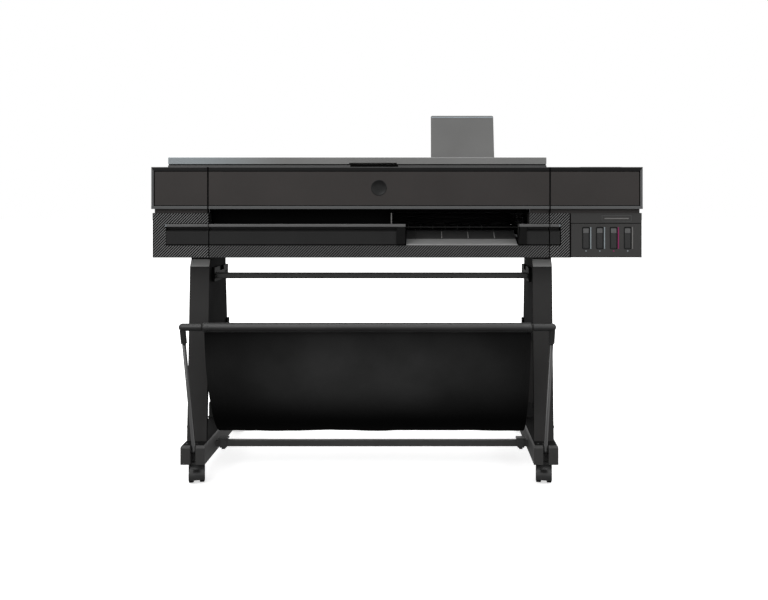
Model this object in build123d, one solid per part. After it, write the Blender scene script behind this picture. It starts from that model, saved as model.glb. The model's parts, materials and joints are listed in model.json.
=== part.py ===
"""Large format plotter on a wheeled stand with a media basket.

Millimetres. X runs along the media width, +Z is up and the front faces -Y. The origin is on the floor under
the middle of the whole object. Depths are measured back from the plane of the front band.
"""
from build123d import *
import os
from math import cos, hypot, radians, sin

# Driving dimensions: the printer body
FRONT = -276.0  # Y of the front band's plane
HALF_WIDTH = 706.5
INNER_HALF = HALF_WIDTH - 3.5  # half width of what stands between the side walls
BODY_DEPTH = 597.0
BODY_BASE = 655.6  # underside of the body
NECK_BASE = 784.7  # top of the lower fascia
BAND_BASE = 796.4
BODY_TOP = 917.0
FASCIA_SETBACK = 11.0  # lower fascia behind the band
WALL = 3.0
PANEL = 4.0  # thickness of the front panels
SEAM_LEFT = -543.5  # middle of the seam between left end and middle
SEAM_RIGHT = 439.9
SEAM_GAP = 3.0
SLOT_RIGHT = 381.0  # right end of the output slot
INK_LEFT = 502.0
RECESS = (-668.0, 473.0, 690.8, 754.4)  # X and Z range of the recess for the output guides
RECESS_DEPTH = 40.0

# Driving dimensions: lid, deck and sheet feeder
LID = (-671.5, 436.3, 45.0, 255.0)  # X range and depth range
DECK_TOP = 922.0
SHELF = (-640.0, 60.0, 320.0, 580.0)  # X range and depth range of the flat shelf behind the lid
SHELF_TOP = 924.0
LID_TOP = 947.0
LID_GROOVE_TOP = 927.5
LID_HINGE = (252.0, 930.0)  # depth, height
LID_HINGE_X = (-560.0, -120.0, 320.0)
FINGER_SLOT_X = -71.5
FEEDER_X = 203.0
FEEDER_WIDTH = 330.0
SUPPORT_WIDTH = 204.6
SUPPORT_LENGTH = 176.0
SUPPORT_LEAN = 16.5
SUPPORT_HINGE = (306.0, 928.0)

# Driving dimensions: inside
FRAME_LEFT = (-556.0, -553.0)
FRAME_RIGHT = (389.0, 392.0)
PLATEN_TOP = 735.0
FEED_ROLLER = (285.0, 723.0, 12.0)  # depth, height, radius
PINCH_ROLLER = (285.0, 741.3, 6.0)
EXIT_ROLLER = (118.0, 743.4, 8.0)
SPINDLE = (480.0, 790.0, 23.5)
SLIDE_ROD = (200.0, 800.0, 8.0)
CARRIAGE = (460.0, 600.0)  # X range where it parks
ROLL_DOOR_HINGE = (595.0, 899.5)
INK_DOOR_HINGE = (18.0, 662.0)
WINDOW_X = (545.5, 585.3, 625.4, 665.9)

# Driving dimensions: stand, casters and basket
STAND_X = -79.7  # middle of the stand
LEG_OFFSET = 509.0
LEG_WIDTH = 58.0
LEG_BASE = 114.5  # top of the foot
LEG_WALL = 2.0
FOOT_WALL = 2.5
FOOT = (2.0, 648.0)  # depth range
FOOT_BASE = 59.8
UPPER_BAR = (136.0, 164.0, 584.0, 600.5)  # depth range and height range
LOWER_BAR = (140.0, 160.0, 73.3, 92.4)
BAR_WALL = 2.0
FOOT_SLOT = (17.0, 34.0)  # width and how far back it runs
PIVOT = (20.0, 95.0)  # depth and height of the basket arms' pivot
BAR = (-84.0, 469.0)  # depth and height of the basket's front bar
ARM_SPREAD = 5.0  # how far each arm leans outward on its way up
BAR_RADIUS = 9.5
REAR_TUBE = (315.0, 414.0, 8.0)
SLING_HALF = 456.0
SLING_THICKNESS = 2.4
WHEEL_RADIUS = 25.0
SWIVEL_DEPTHS = {"front": 52.0, "rear": 620.0}
CASTER_TURN = {"left": 14.0, "right": -8.0}  # how far the casters stand turned on their stems, in degrees
CASTER_TRAIL = 16.0
RUNNING = 0.05  # radial clearance of a running fit


def block(x0, x1, d0, d1, z0, z1):
    """A box from x0 to x1, from depth d0 to d1 behind the band's plane, from height z0 to z1."""
    return Pos((x0 + x1) / 2, FRONT + (d0 + d1) / 2, (z0 + z1) / 2) * Box(x1 - x0, d1 - d0, z1 - z0)


def rod(x0, x1, depth, height, radius):
    """A cylinder along X."""
    return Pos((x0 + x1) / 2, FRONT + depth, height) * Rot(0, 90, 0) * Cylinder(radius, x1 - x0)


def post(x, depth, z0, z1, radius):
    """A cylinder along Z."""
    return Pos(x, FRONT + depth, (z0 + z1) / 2) * Cylinder(radius, z1 - z0)


def profile(points, x0, x1):
    """An outline of (depth, height) points extruded from x0 to x1."""
    outline = Polyline(*[(x0, FRONT + depth, height) for depth, height in points], close=True)
    return extrude(make_face(outline), amount=x1 - x0, dir=(1, 0, 0))


def group(solids):
    """Separate solids of one node."""
    return Compound(children=[solid for shape in solids for solid in shape.solids()])


def save(name, shape):
    export_step(shape, f"parts/{name}.step")


# Stand


def foot(x):
    """A hollow foot with a slot in front for the basket arm and a block at each end for a caster stem."""
    front, back = FOOT
    side = [
        (front, FOOT_BASE),
        (front, LEG_BASE - 7),
        (front + 6, LEG_BASE),
        (back - 230, LEG_BASE),
        (back - 40, 92),
        (back, 78),
        (back, FOOT_BASE),
    ]
    body = profile(side, x - 35, x + 35)
    body = chamfer(body.edges().filter_by(Axis.Y).group_by(Axis.Z)[-1], 3.5)
    near, far = x - 35 + FOOT_WALL, x + 35 - FOOT_WALL
    body -= block(near, far, 78, 400, FOOT_BASE, LEG_BASE - FOOT_WALL - 1)
    body -= block(near, far, 400, 580, FOOT_BASE, 84)
    body -= block(x - FOOT_SLOT[0] / 2, x + FOOT_SLOT[0] / 2, 0, FOOT_SLOT[1], FOOT_BASE, LEG_BASE)
    body -= rod(x - 14, x + 14, *PIVOT, 4 + RUNNING)
    for depth in SWIVEL_DEPTHS.values():
        stem_top = 72 if depth > 500 else 90
        body -= post(x, depth, FOOT_BASE, stem_top, 5 + RUNNING)
    return body


def leg(x):
    """A hollow A-shaped leg: one closed panel at the top, split into a front and a rear post."""
    outside = [
        (48.7, LEG_BASE),
        (83.6, 624),
        (99, 645),
        (99, BODY_BASE),
        (299, BODY_BASE),
        (299, 612),
        (320, 445),
        (362, LEG_BASE),
    ]
    window = [(63, LEG_BASE), (83, 400), (300, 400), (334, LEG_BASE)]
    half = LEG_WIDTH / 2
    shape = profile(outside, x - half, x + half) - profile(window, x - half, x + half)
    core = half - LEG_WALL
    front_hollow = [(51, LEG_BASE), (85.9, 624), (91, 630), (91, 402.5), (80.6, 402.5), (60.6, LEG_BASE)]
    rear_hollow = [(336.4, LEG_BASE), (302, 402.5), (290, 402.5), (290, 620), (316.9, 445), (359.6, LEG_BASE)]
    shape -= profile(front_hollow, x - core, x + core)
    shape -= profile(rear_hollow, x - core, x + core)
    return shape - block(x - core, x + core, 91, 290, 402.5, 630)


def post_socket(x):
    """The bracket that holds the bottom of a rear post, with a collar and a castellated top."""
    socket = block(x - 34, x + 34, 322, 372, LEG_BASE, 120) + block(x - 32, x + 32, 325, 369, 120, 164)
    post_inside = [(334, LEG_BASE), (328.1, 164), (355.8, 164), (362, LEG_BASE)]
    socket -= profile(post_inside, x - LEG_WIDTH / 2, x + LEG_WIDTH / 2)
    for offset in (-20, 0, 20):
        socket -= block(x + offset - 4, x + offset + 4, 320, 335, 150, 164)
    return socket


def crossbar(left, right, section):
    """A rectangular tube between the legs or the feet, with rounded long edges."""
    d0, d1, z0, z1 = section
    bar = fillet(block(left, right, *section).edges().filter_by(Axis.X), 3)
    return bar - block(left, right, d0 + BAR_WALL, d1 - BAR_WALL, z0 + BAR_WALL, z1 - BAR_WALL)


def upper_clamp(face, side):
    """A plate on a leg's inner face around the end of the upper crossbar, with two lugs on top."""
    near, far = sorted((face, face + side * 8))
    outline = [(116, 576), (298, 576), (298, 617), (238, 617), (238, 605), (186, 605), (186, 619), (116, 619)]
    return profile(outline, near, far) - block(near, far, *UPPER_BAR)


def lower_clamp(face, side):
    """A collar around the lower crossbar with a flange on top and a tab below."""
    near, far = sorted((face + side * 12, face + side * 32))
    d0, d1, z0, z1 = LOWER_BAR
    collar = fillet(block(near, far, d0 - 4, d1 + 4, z0 - 3, z1 + 3).edges().filter_by(Axis.X), 3)
    collar += block(near - 4, far + 4, d0 - 4, d1 + 4, z1 + 3, z1 + 7)
    collar += block(near + 5, far - 5, d0, d1, z0 - 8, z0 - 2.5)
    return collar - block(near, far, *LOWER_BAR)


def tube_bracket(face, side):
    near, far = sorted((face, face + side * 5.5))
    return fillet(block(near, far, 302, 328, 384, 442).edges().filter_by(Axis.X), 6)


def build_stand():
    left, right = STAND_X - LEG_OFFSET, STAND_X + LEG_OFFSET
    for side, x in (("left", left), ("right", right)):
        save(f"foot_{side}", foot(x))
        save(f"leg_{side}", leg(x))
    inner_left, inner_right = left + LEG_WIDTH / 2, right - LEG_WIDTH / 2
    foot_left, foot_right = left + 35, right - 35
    save("post_sockets", group([post_socket(left), post_socket(right)]))
    save("upper_crossbar", crossbar(inner_left, inner_right, UPPER_BAR))
    save("lower_crossbar", crossbar(foot_left, foot_right, LOWER_BAR))
    clamps = [upper_clamp(inner_left, 1), upper_clamp(inner_right, -1)]
    clamps += [lower_clamp(foot_left, 1), lower_clamp(foot_right, -1)]
    save("crossbar_clamps", group(clamps))
    save("tube_brackets", group([tube_bracket(inner_left, 1), tube_bracket(inner_right, -1)]))
    tube = rod(inner_left + 5.5, inner_right - 5.5, *REAR_TUBE)
    save("basket_rear_tube", tube - rod(inner_left + 5.5, inner_right - 5.5, *REAR_TUBE[:2], 6.5))


# Casters


def caster_hood(x, swivel, braked):
    """A fender over twin wheels with a central web, a top plate, a stem and, in front, ears for the brake."""
    axle = swivel - CASTER_TRAIL
    fender = rod(x - 23.2, x + 23.2, axle, WHEEL_RADIUS, 29.5) - rod(x - 24, x + 24, axle, WHEEL_RADIUS, 27)
    hood = fender + rod(x - 7.5, x + 7.5, axle, WHEEL_RADIUS, 28)
    hood -= block(x - 30, x + 30, axle - 40, axle + 40, -10, 12.5)
    top = fillet(block(x - 18, x + 18, axle - 8, swivel + 12, 53.3, 59.3).edges().filter_by(Axis.Z), 4)
    hood += top + post(x, swivel, 56, 70 if swivel > 500 else 88, 5)
    hood -= rod(x - 8, x + 8, axle, WHEEL_RADIUS, 3 + RUNNING)
    if braked:
        depth, height = brake_pivot(axle)
        for side in (-1, 1):
            near, far = sorted((x + side * 7.4, x + side * 10.4))
            hood += block(near, far, depth - 3, depth + 6, height - 4, height + 3)
        hood -= rod(x - 11, x + 11, depth, height, 1.5 + RUNNING)
    return hood


def brake_pivot(axle):
    """Depth and height of the brake pedal's pin, up on the front of the fender."""
    return axle - 33 * cos(radians(30)), WHEEL_RADIUS + 33 * sin(radians(30))


def brake_lever(x, axle):
    depth, height = brake_pivot(axle)
    hub = rod(x - 7, x + 7, depth, height, 3) + rod(x - 10, x + 10, depth, height, 1.5)
    pedal = block(x - 7, x + 7, depth - 11, depth - 1, height - 1.5, height + 1.5)
    return hub + pedal


def caster_wheels(x, axle):
    """Two wheels on one axle, with rounded treads and dished outer faces."""
    pair = rod(x - 22.2, x + 22.2, axle, WHEEL_RADIUS, 3)
    for side in (-1, 1):
        near, far = sorted((x + side * 8.2, x + side * 22.2))
        wheel = fillet(rod(near, far, axle, WHEEL_RADIUS, WHEEL_RADIUS).edges(), 2.5)
        dish_near, dish_far = sorted((x + side * 20.2, x + side * 22.2))
        dish = rod(dish_near, dish_far, axle, WHEEL_RADIUS, 17)
        pair += wheel - (dish - rod(dish_near, dish_far, axle, WHEEL_RADIUS, 6))
    return pair


def turned(shape, x, swivel, angle):
    """A caster's piece turned about its stem."""
    stem = Pos(x, FRONT + swivel, 0)
    return stem * Rot(0, 0, angle) * stem.inverse() * shape


def build_casters():
    for side, x in (("left", STAND_X - LEG_OFFSET), ("right", STAND_X + LEG_OFFSET)):
        angle = CASTER_TURN[side]
        for end, swivel in SWIVEL_DEPTHS.items():
            axle = swivel - CASTER_TRAIL
            hood = caster_hood(x, swivel, end == "front")
            save(f"caster_hood_{end}_{side}", turned(hood, x, swivel, angle))
            save(f"caster_wheels_{end}_{side}", turned(caster_wheels(x, axle), x, swivel, angle))
        swivel = SWIVEL_DEPTHS["front"]
        save(f"brake_lever_{side}", turned(brake_lever(x, swivel - CASTER_TRAIL), x, swivel, angle))


# Basket


def along_arm(distance):
    """Depth and height of a point on the arm's line, that far down from the bar."""
    run, drop = PIVOT[0] - BAR[0], BAR[1] - PIVOT[1]
    length = hypot(run, drop)
    return BAR[0] + run * distance / length, BAR[1] - drop * distance / length


def arm_rod(x, side, start, end, radius):
    """A straight rod in the arm's line, between two distances down from the bar."""
    length = hypot(PIVOT[0] - BAR[0], BAR[1] - PIVOT[1])
    ends = []
    for distance in (start, end):
        depth, height = along_arm(distance)
        spread = side * ARM_SPREAD * (1 - distance / length)
        ends.append(Vector(x + spread, FRONT + depth, height))
    line = ends[1] - ends[0]
    lean = Plane(origin=ends[0], z_dir=line)
    return lean * Cylinder(radius, line.length, align=(Align.CENTER, Align.CENTER, Align.MIN))


def basket_arm(x, side):
    length = hypot(PIVOT[0] - BAR[0], BAR[1] - PIVOT[1])
    arm = arm_rod(x, side, 38, length, 5.5) + rod(x - 7.5, x + 7.5, *PIVOT, 8)
    return arm + rod(x - 13.5, x + 13.5, *PIVOT, 4)


def basket_elbow(x, side):
    """The round corner that joins the front bar to an arm."""
    corner = x + side * ARM_SPREAD
    near, far = sorted((x - side * 48.5, corner))
    bar_near, bar_far = sorted((x - side * 48.5, x - side * 40))
    elbow = rod(near, far, *BAR, 10.5) + Pos(corner, FRONT + BAR[0], BAR[1]) * Sphere(10.5)
    elbow += arm_rod(x, side, 0, 48, 8.5)
    elbow -= rod(bar_near, bar_far, *BAR, BAR_RADIUS)
    return elbow - arm_rod(x, side, 38, 49, 5.5)


def sling():
    """The fabric: a sleeve around the bar, a deep trough, and a sleeve around the rear tube."""
    line = [(-85, 459), (-52, 334), (-8, 242), (42, 174), (92, 137)]
    line += [(146, 126), (205, 150), (262, 241), (309, 407)]
    half = SLING_THICKNESS / 2
    outer, inner = [], []
    for index, (depth, height) in enumerate(line):
        before, after = line[max(index - 1, 0)], line[min(index + 1, len(line) - 1)]
        along = (after[0] - before[0], after[1] - before[1])
        length = hypot(*along)
        offset = (-along[1] / length * half, along[0] / length * half)
        outer.append((depth - offset[0], height - offset[1]))
        inner.append((depth + offset[0], height + offset[1]))
    x0, x1 = STAND_X - SLING_HALF, STAND_X + SLING_HALF
    rims = [[(x0, FRONT + depth, height) for depth, height in side] for side in (outer, inner)]
    first, second = Spline(*rims[0]), Spline(*rims[1])
    edges = [first, second, Line(rims[0][0], rims[1][0]), Line(rims[0][-1], rims[1][-1])]
    sheet = extrude(make_face(edges), amount=x1 - x0, dir=(1, 0, 0))
    sheet += rod(x0, x1, *BAR, 12) + rod(x0, x1, *REAR_TUBE[:2], 10.5)
    return sheet - rod(x0, x1, *BAR, BAR_RADIUS + 0.3) - rod(x0, x1, *REAR_TUBE[:2], REAR_TUBE[2] + 0.3)


def build_basket():
    left, right = STAND_X - LEG_OFFSET, STAND_X + LEG_OFFSET
    bar = rod(left + 40, right - 40, *BAR, BAR_RADIUS) - rod(left + 40, right - 40, *BAR, BAR_RADIUS - 1.5)
    save("basket_bar", bar)
    save("basket_elbows", group([basket_elbow(left, -1), basket_elbow(right, 1)]))
    save("basket_arms", group([basket_arm(left, -1), basket_arm(right, 1)]))
    save("basket_sling", sling())


# Body shell


def base_pan():
    pan = block(-INNER_HALF, INNER_HALF, 30, 592.5, BODY_BASE, BODY_BASE + WALL)
    pan += block(-INNER_HALF, 498, 30, 33, BODY_BASE + WALL, 680)
    return pan + block(-INNER_HALF, INNER_HALF, 589.5, 592.5, BODY_BASE + WALL, 675)


def inner_frame(x0, x1, top):
    """A side plate with a window for the carriage and holes for the rollers and the spindle."""
    plate = block(x0, x1, 60, 586, BODY_BASE + WALL, top) - block(x0, x1, 130, 248, 737, 892)
    for depth, height, radius in (
        (*FEED_ROLLER[:2], 5),
        (*PINCH_ROLLER[:2], 2.5),
        (*EXIT_ROLLER[:2], 3),
        (*SPINDLE[:2], 8),
    ):
        plate -= rod(x0, x1, depth, height, radius + RUNNING)
    return plate


def build_frames():
    outer = [block(side * 691.5 - 1.5, side * 691.5 + 1.5, 186, 262, 658.6, 905) for side in (-1, 1)]
    inner = [inner_frame(*FRAME_LEFT, BODY_TOP - WALL), inner_frame(*FRAME_RIGHT, BODY_TOP)]
    save("base_pan", base_pan())
    save("end_frames", group(inner + outer))


def fascia_front(x0, x1):
    """A lower front panel with a return that meets the base pan."""
    panel = block(x0, x1, FASCIA_SETBACK, FASCIA_SETBACK + PANEL, BODY_BASE, NECK_BASE)
    return panel + block(x0, x1, FASCIA_SETBACK, 30, BODY_BASE, BODY_BASE + WALL)


def recess_liner(x0, x1):
    """The floor, back and roof of the recess behind an output guide."""
    low, high = RECESS[2], RECESS[3]
    liner = block(x0, x1, FASCIA_SETBACK, RECESS_DEPTH + WALL, low - WALL, low)
    liner += block(x0, x1, RECESS_DEPTH, RECESS_DEPTH + WALL, low - WALL, high + WALL)
    return liner + block(x0, x1, FASCIA_SETBACK, RECESS_DEPTH + WALL, high, high + WALL)


def recess_end(x0, x1):
    return block(x0, x1, FASCIA_SETBACK, RECESS_DEPTH + WALL, RECESS[2] - WALL, RECESS[3] + WALL)


def fascia_left():
    x0, x1 = -HALF_WIDTH, SEAM_LEFT - SEAM_GAP / 2
    cover = fascia_front(x0, x1) + block(x0, x0 + WALL, FASCIA_SETBACK, 592.5, BODY_BASE, NECK_BASE)
    cover -= block(RECESS[0], x1, 0, RECESS_DEPTH, RECESS[2], RECESS[3])
    cover += recess_liner(RECESS[0], x1)
    return cover + recess_end(RECESS[0] - WALL, RECESS[0])


def fascia_center():
    x0, x1 = SEAM_LEFT + SEAM_GAP / 2, SEAM_RIGHT - SEAM_GAP / 2
    low, high = RECESS[2], RECESS[3]
    panel = block(x0, x1, FASCIA_SETBACK, FASCIA_SETBACK + PANEL, BODY_BASE, low)
    panel += block(x0, x1, FASCIA_SETBACK, 30, BODY_BASE, BODY_BASE + WALL)
    panel += block(x0, x1, FASCIA_SETBACK, RECESS_DEPTH + WALL, low - WALL, low)
    panel += block(x0, 22, RECESS_DEPTH, RECESS_DEPTH + WALL, low, 752)
    panel += block(x0, 22, RECESS_DEPTH, 58, 749, 752)
    panel += block(352, x1, RECESS_DEPTH, RECESS_DEPTH + WALL, low, 752.8)
    panel += block(SLOT_RIGHT, x1, FASCIA_SETBACK, FASCIA_SETBACK + PANEL, high, NECK_BASE)
    panel += block(SLOT_RIGHT, x1, FASCIA_SETBACK, RECESS_DEPTH + WALL, 752.8, high)
    return panel + block(SLOT_RIGHT, SLOT_RIGHT + WALL, FASCIA_SETBACK, 58, 752.8, NECK_BASE)


def fascia_right():
    x0, x1 = SEAM_RIGHT + SEAM_GAP / 2, HALF_WIDTH
    cover = fascia_front(x0, INK_LEFT)
    cover += block(INK_LEFT, x1, FASCIA_SETBACK, FASCIA_SETBACK + PANEL, RECESS[3], NECK_BASE)
    cover += block(x1 - WALL, x1, FASCIA_SETBACK, 592.5, BODY_BASE, NECK_BASE)
    cover += block(INK_LEFT - 3.5, INK_LEFT, FASCIA_SETBACK, 30, BODY_BASE, NECK_BASE)
    cover -= block(x0, RECESS[1], 0, RECESS_DEPTH, RECESS[2], RECESS[3])
    cover += recess_liner(x0, RECESS[1])
    cover += recess_end(RECESS[1], RECESS[1] + WALL)
    return cover - rod(INK_LEFT - 2, x1 - 1, *INK_DOOR_HINGE, 2 + RUNNING)


def end_cover(side, seam_x):
    """An upper end cover: front, side, top and the recessed neck below it."""
    outer = side * HALF_WIDTH

    def span(a, b, *rest):
        return block(min(a, b), max(a, b), *rest)

    cover = span(outer, seam_x, 0, PANEL, BAND_BASE, BODY_TOP)
    cover += span(outer, outer - side * WALL, 0, 592.5, BAND_BASE, BODY_TOP)
    cover += span(outer, seam_x, 0, 592.5, BODY_TOP - WALL, BODY_TOP)
    cover += span(outer, seam_x, 0, 15, BAND_BASE, BAND_BASE + WALL)
    cover += span(outer, outer - side * 9, 0, 592.5, BAND_BASE, BAND_BASE + WALL)
    inner = outer - side * 6
    cover += span(inner, seam_x, 12, 15, NECK_BASE, BAND_BASE)
    return cover + span(inner, inner - side * WALL, 12, 592.5, NECK_BASE, BAND_BASE)


def front_panel():
    x0, x1 = SEAM_LEFT + SEAM_GAP / 2, SEAM_RIGHT - SEAM_GAP / 2
    panel = block(x0, x1, 0, PANEL, BAND_BASE, BODY_TOP)
    panel += block(x0, x1, 0, 60, BODY_TOP - WALL, BODY_TOP)
    panel += block(x0, x1, 0, 40, BAND_BASE, BAND_BASE + WALL)
    return panel + block(SLOT_RIGHT + WALL, x1, 12, 15, NECK_BASE, BAND_BASE)


def band_trim():
    """The bright strip along the band's lower edge, in three lengths."""
    left, right = SEAM_LEFT - SEAM_GAP / 2, SEAM_RIGHT + SEAM_GAP / 2
    spans = [(-HALF_WIDTH, left), (left + SEAM_GAP, right - SEAM_GAP), (right, HALF_WIDTH)]
    return group([block(x0, x1, -1.2, 0, BAND_BASE, 805) for x0, x1 in spans])


def blank_badges():
    """A plain round badge on the band and a blank name plate over the ink door."""
    disc = Pos(-52, FRONT - 0.75, 857.6) * Rot(90, 0, 0) * Cylinder(19, 1.5)
    return group([disc, block(590.5, 676.8, FASCIA_SETBACK - 1, FASCIA_SETBACK, 760, 778)])


def build_shell():
    save("fascia_left", fascia_left())
    save("fascia_center", fascia_center())
    save("fascia_right", fascia_right())
    save("end_cover_left", end_cover(-1, SEAM_LEFT - SEAM_GAP / 2))
    right = end_cover(1, SEAM_RIGHT + SEAM_GAP / 2)
    right -= block(539.5, 660.5, 66.5, 143.5, 900, 920) + post(500, 105, 900, 920, 7.3)
    save("end_cover_right", right)
    save("front_panel", front_panel())
    save("band_trim", band_trim())
    save("blank_badges", blank_badges())


# Lid, deck and rear


def top_deck():
    """The fixed deck: openings under the lid and the feeder, a flat shelf, and ears for both hinges."""
    x0, x1 = LID[:2]
    deck = block(x0, x1, LID[2], BODY_DEPTH, BODY_TOP, DECK_TOP) + block(*SHELF, DECK_TOP, SHELF_TOP)
    deck -= block(-530, 380, 62, 236, BODY_TOP, DECK_TOP)
    mouth = FEEDER_X - FEEDER_WIDTH / 2, FEEDER_X + FEEDER_WIDTH / 2
    deck -= block(*mouth, 276, 302, BODY_TOP, DECK_TOP)
    for x in LID_HINGE_X:
        ear = block(x - 4, x + 4, LID_HINGE[0] - 5, LID_HINGE[0] + 5, BODY_TOP, LID_HINGE[1])
        ear += rod(x - 4, x + 4, *LID_HINGE, 5)
        deck += ear - rod(x - 4, x + 4, *LID_HINGE, 3 + RUNNING)
    for side in (-1, 1):
        inner = FEEDER_X + side * (SUPPORT_WIDTH / 2 + 1.5)
        near, far = sorted((inner, inner + side * 5))
        ear = block(near, far, SUPPORT_HINGE[0] - 6, SUPPORT_HINGE[0] + 6, BODY_TOP, SUPPORT_HINGE[1])
        ear += rod(near, far, *SUPPORT_HINGE, 6)
        deck += ear - rod(near, far, *SUPPORT_HINGE, 3 + RUNNING)
    return deck


def print_cover():
    """The lid over the print zone, with a shadow groove, a finger slot and three hinge pockets."""
    x0, x1, d0, d1 = LID
    lid = block(x0, x1, d0, d1, LID_GROOVE_TOP, LID_TOP)
    lid = fillet(lid.edges().filter_by(Axis.Z) + lid.edges().group_by(Axis.Z)[-1], 2)
    lid += block(x0 + 5, x1 - 5, d0 + 5, d1 - 10, DECK_TOP + 0.3, LID_GROOVE_TOP)
    lid -= block(x0 + 9, x1 - 9, d0 + 9, d1 - 14, DECK_TOP, LID_TOP - 5)
    lid += block(FINGER_SLOT_X - 73, FINGER_SLOT_X + 73, d0 + 6, d0 + 34, LID_GROOVE_TOP, LID_TOP - 2)
    lid -= block(FINGER_SLOT_X - 70, FINGER_SLOT_X + 70, d0, d0 + 30, DECK_TOP, 931)
    for x in LID_HINGE_X:
        lid += block(x - 10, x + 10, 238, 250, DECK_TOP + 2, LID_TOP - 2)
        lid -= block(x - 6, x + 6, 244, d1 + 1, DECK_TOP, 938)
        lid += rod(x - 6, x + 6, *LID_HINGE, 3)
    return lid


def sheet_support():
    """The upright paper support, leaning back from its hinge."""
    half = SUPPORT_WIDTH / 2
    plate = Pos(0, 0, SUPPORT_LENGTH / 2) * Box(SUPPORT_WIDTH, 8, SUPPORT_LENGTH)
    plate = fillet(plate.edges().filter_by(Axis.Y).group_by(Axis.Z)[-1], 5)
    plate += Rot(0, 90, 0) * Cylinder(5, SUPPORT_WIDTH) + Rot(0, 90, 0) * Cylinder(3, 2 * (half + 6))
    return Pos(FEEDER_X, FRONT + SUPPORT_HINGE[0], SUPPORT_HINGE[1]) * Rot(-SUPPORT_LEAN, 0, 0) * plate


def sheet_guide(side):
    face = FEEDER_X + side * (FEEDER_WIDTH / 2 - 2)
    near, far = sorted((face, face - side * 3))
    shoe_near, shoe_far = sorted((face + side * 12, face - side * 3))
    fence = block(near, far, 278, 298, 914, 952)
    return fence + block(shoe_near, shoe_far, 273, 298, DECK_TOP + 0.3, 925.3)


def build_top():
    save("top_deck", top_deck())
    save("print_cover", print_cover())
    save("sheet_support", sheet_support())
    save("sheet_guide_left", sheet_guide(-1))
    save("sheet_guide_right", sheet_guide(1))
    panel = block(535, 665, 62, 148, BODY_TOP, 919.5)
    panel = chamfer(panel.edges().group_by(Axis.Z)[-1], 1) + block(540, 660, 67, 143, 905, BODY_TOP)
    save("control_panel", panel)
    button = post(500, 105, 908, 919, 7)
    save("power_button", fillet(button.edges().group_by(Axis.Z)[-1], 1))


def rear_panel():
    panel = block(-HALF_WIDTH + WALL, HALF_WIDTH - WALL, 592.5, BODY_DEPTH, BODY_BASE, BODY_TOP)
    panel -= block(-552, 388, 590, 600, 700, 904)
    for near, far in ((-560, -552), (388, 396)):
        panel += block(near, far, 588, 594, 889, 910)
        panel -= rod(near - 1, far + 1, *ROLL_DOOR_HINGE, 2 + RUNNING)
    return panel - block(566.2, 593.8, 590, 600, 679.7, 700.3)


def roll_cover():
    """The door over the roll bay, with a rolled upper edge and a pin at each end."""
    door = block(-550.5, 386.5, 593, BODY_DEPTH, 702, ROLL_DOOR_HINGE[1])
    door += rod(-550.5, 386.5, *ROLL_DOOR_HINGE, 4) + rod(-557, 393, *ROLL_DOOR_HINGE, 2)
    return door + block(-142, -22, BODY_DEPTH, 601, 708, 716)


def power_inlet():
    """A three-blade appliance inlet; its socket opens to the rear."""
    inlet = block(566.2, 593.8, 570, 600, 679.7, 700.3)
    flange = fillet(block(555, 605, BODY_DEPTH, 600, 675, 705).edges().filter_by(Axis.Y), 4)
    inlet += flange
    inlet -= block(568, 592, 582, 600, 681.5, 698.5)
    for x, height in ((573, 688), (587, 688), (580, 693)):
        inlet += block(x - 1, x + 1, 581, 593, height - 2, height + 2)
    return inlet


def build_rear():
    save("rear_panel", rear_panel())
    save("roll_cover", roll_cover())
    save("power_inlet", power_inlet())


# Output slot


def guide_bar(x0, x1):
    """An output guide: a lip along the top, an undercut below it and a plain face."""
    outline = [(9, 694), (9, 732), (22, 737), (22, 744.3), (3, 744.3), (3, 752.6), (39.7, 752.6), (39.7, 694)]
    return profile(outline, x0, x1)


def output_guide_left():
    return guide_bar(-667, 0) + block(-1.4, 24, 3, 39.7, 694, 752.6)


def output_guide_right():
    return guide_bar(370, 470.4) + block(350.5, 373.6, 3, 39.7, 694, 752.6)


def output_ramp():
    """The dished ramp between the guides, with ribs along the media's way."""
    skin = [(12, 691.1), (71, 707), (127.7, 731), (127.7, 726), (73, 702), (16, 691.1)]
    x0, x1 = 25.0, 349.0
    ramp = profile(skin, x0, x1)
    ramp += profile([(44, 691.1), (127.7, 731), (127.7, 660), (44, 660)], x0, x0 + WALL)
    ramp += profile([(44, 691.1), (127.7, 731), (127.7, 660), (44, 660)], x1 - WALL, x1)
    for index in range(4):
        x = 52.6 + 78 * index
        ramp += profile([(20, 693), (71, 709.5), (127.7, 733.5), (127.7, 730), (71, 706)], x - 1, x + 1)
    return ramp


def slot_shutter():
    x0, x1 = SEAM_LEFT + SEAM_GAP / 2, -15.5
    return block(x0, x1, 48, 51, 752, 800) + block(x1 - 3, x1, 36, 48, 752.6, 796.2)


def build_output():
    save("output_guide_left", output_guide_left())
    save("output_guide_right", output_guide_right())
    save("output_ramp", output_ramp())
    save("slot_shutter", slot_shutter())


# Ink module


def ink_housing():
    housing = block(522, 690, 27, 108, BODY_BASE + WALL, 752)
    for x in WINDOW_X:
        housing -= block(x - 18, x + 18, 27, 105, 664, 748)
    return housing


def ink_cartridge(x):
    cartridge = block(x - 17, x + 17, 27.5, 104, 664, 746)
    return fillet(cartridge.edges().filter_by(Axis.Y), 2)


def window_pane(x, d0, d1):
    pane = block(x - 10.4, x + 10.4, d0, d1, 681, 744)
    return fillet(pane.edges().filter_by(Axis.Y), 4)


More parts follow.
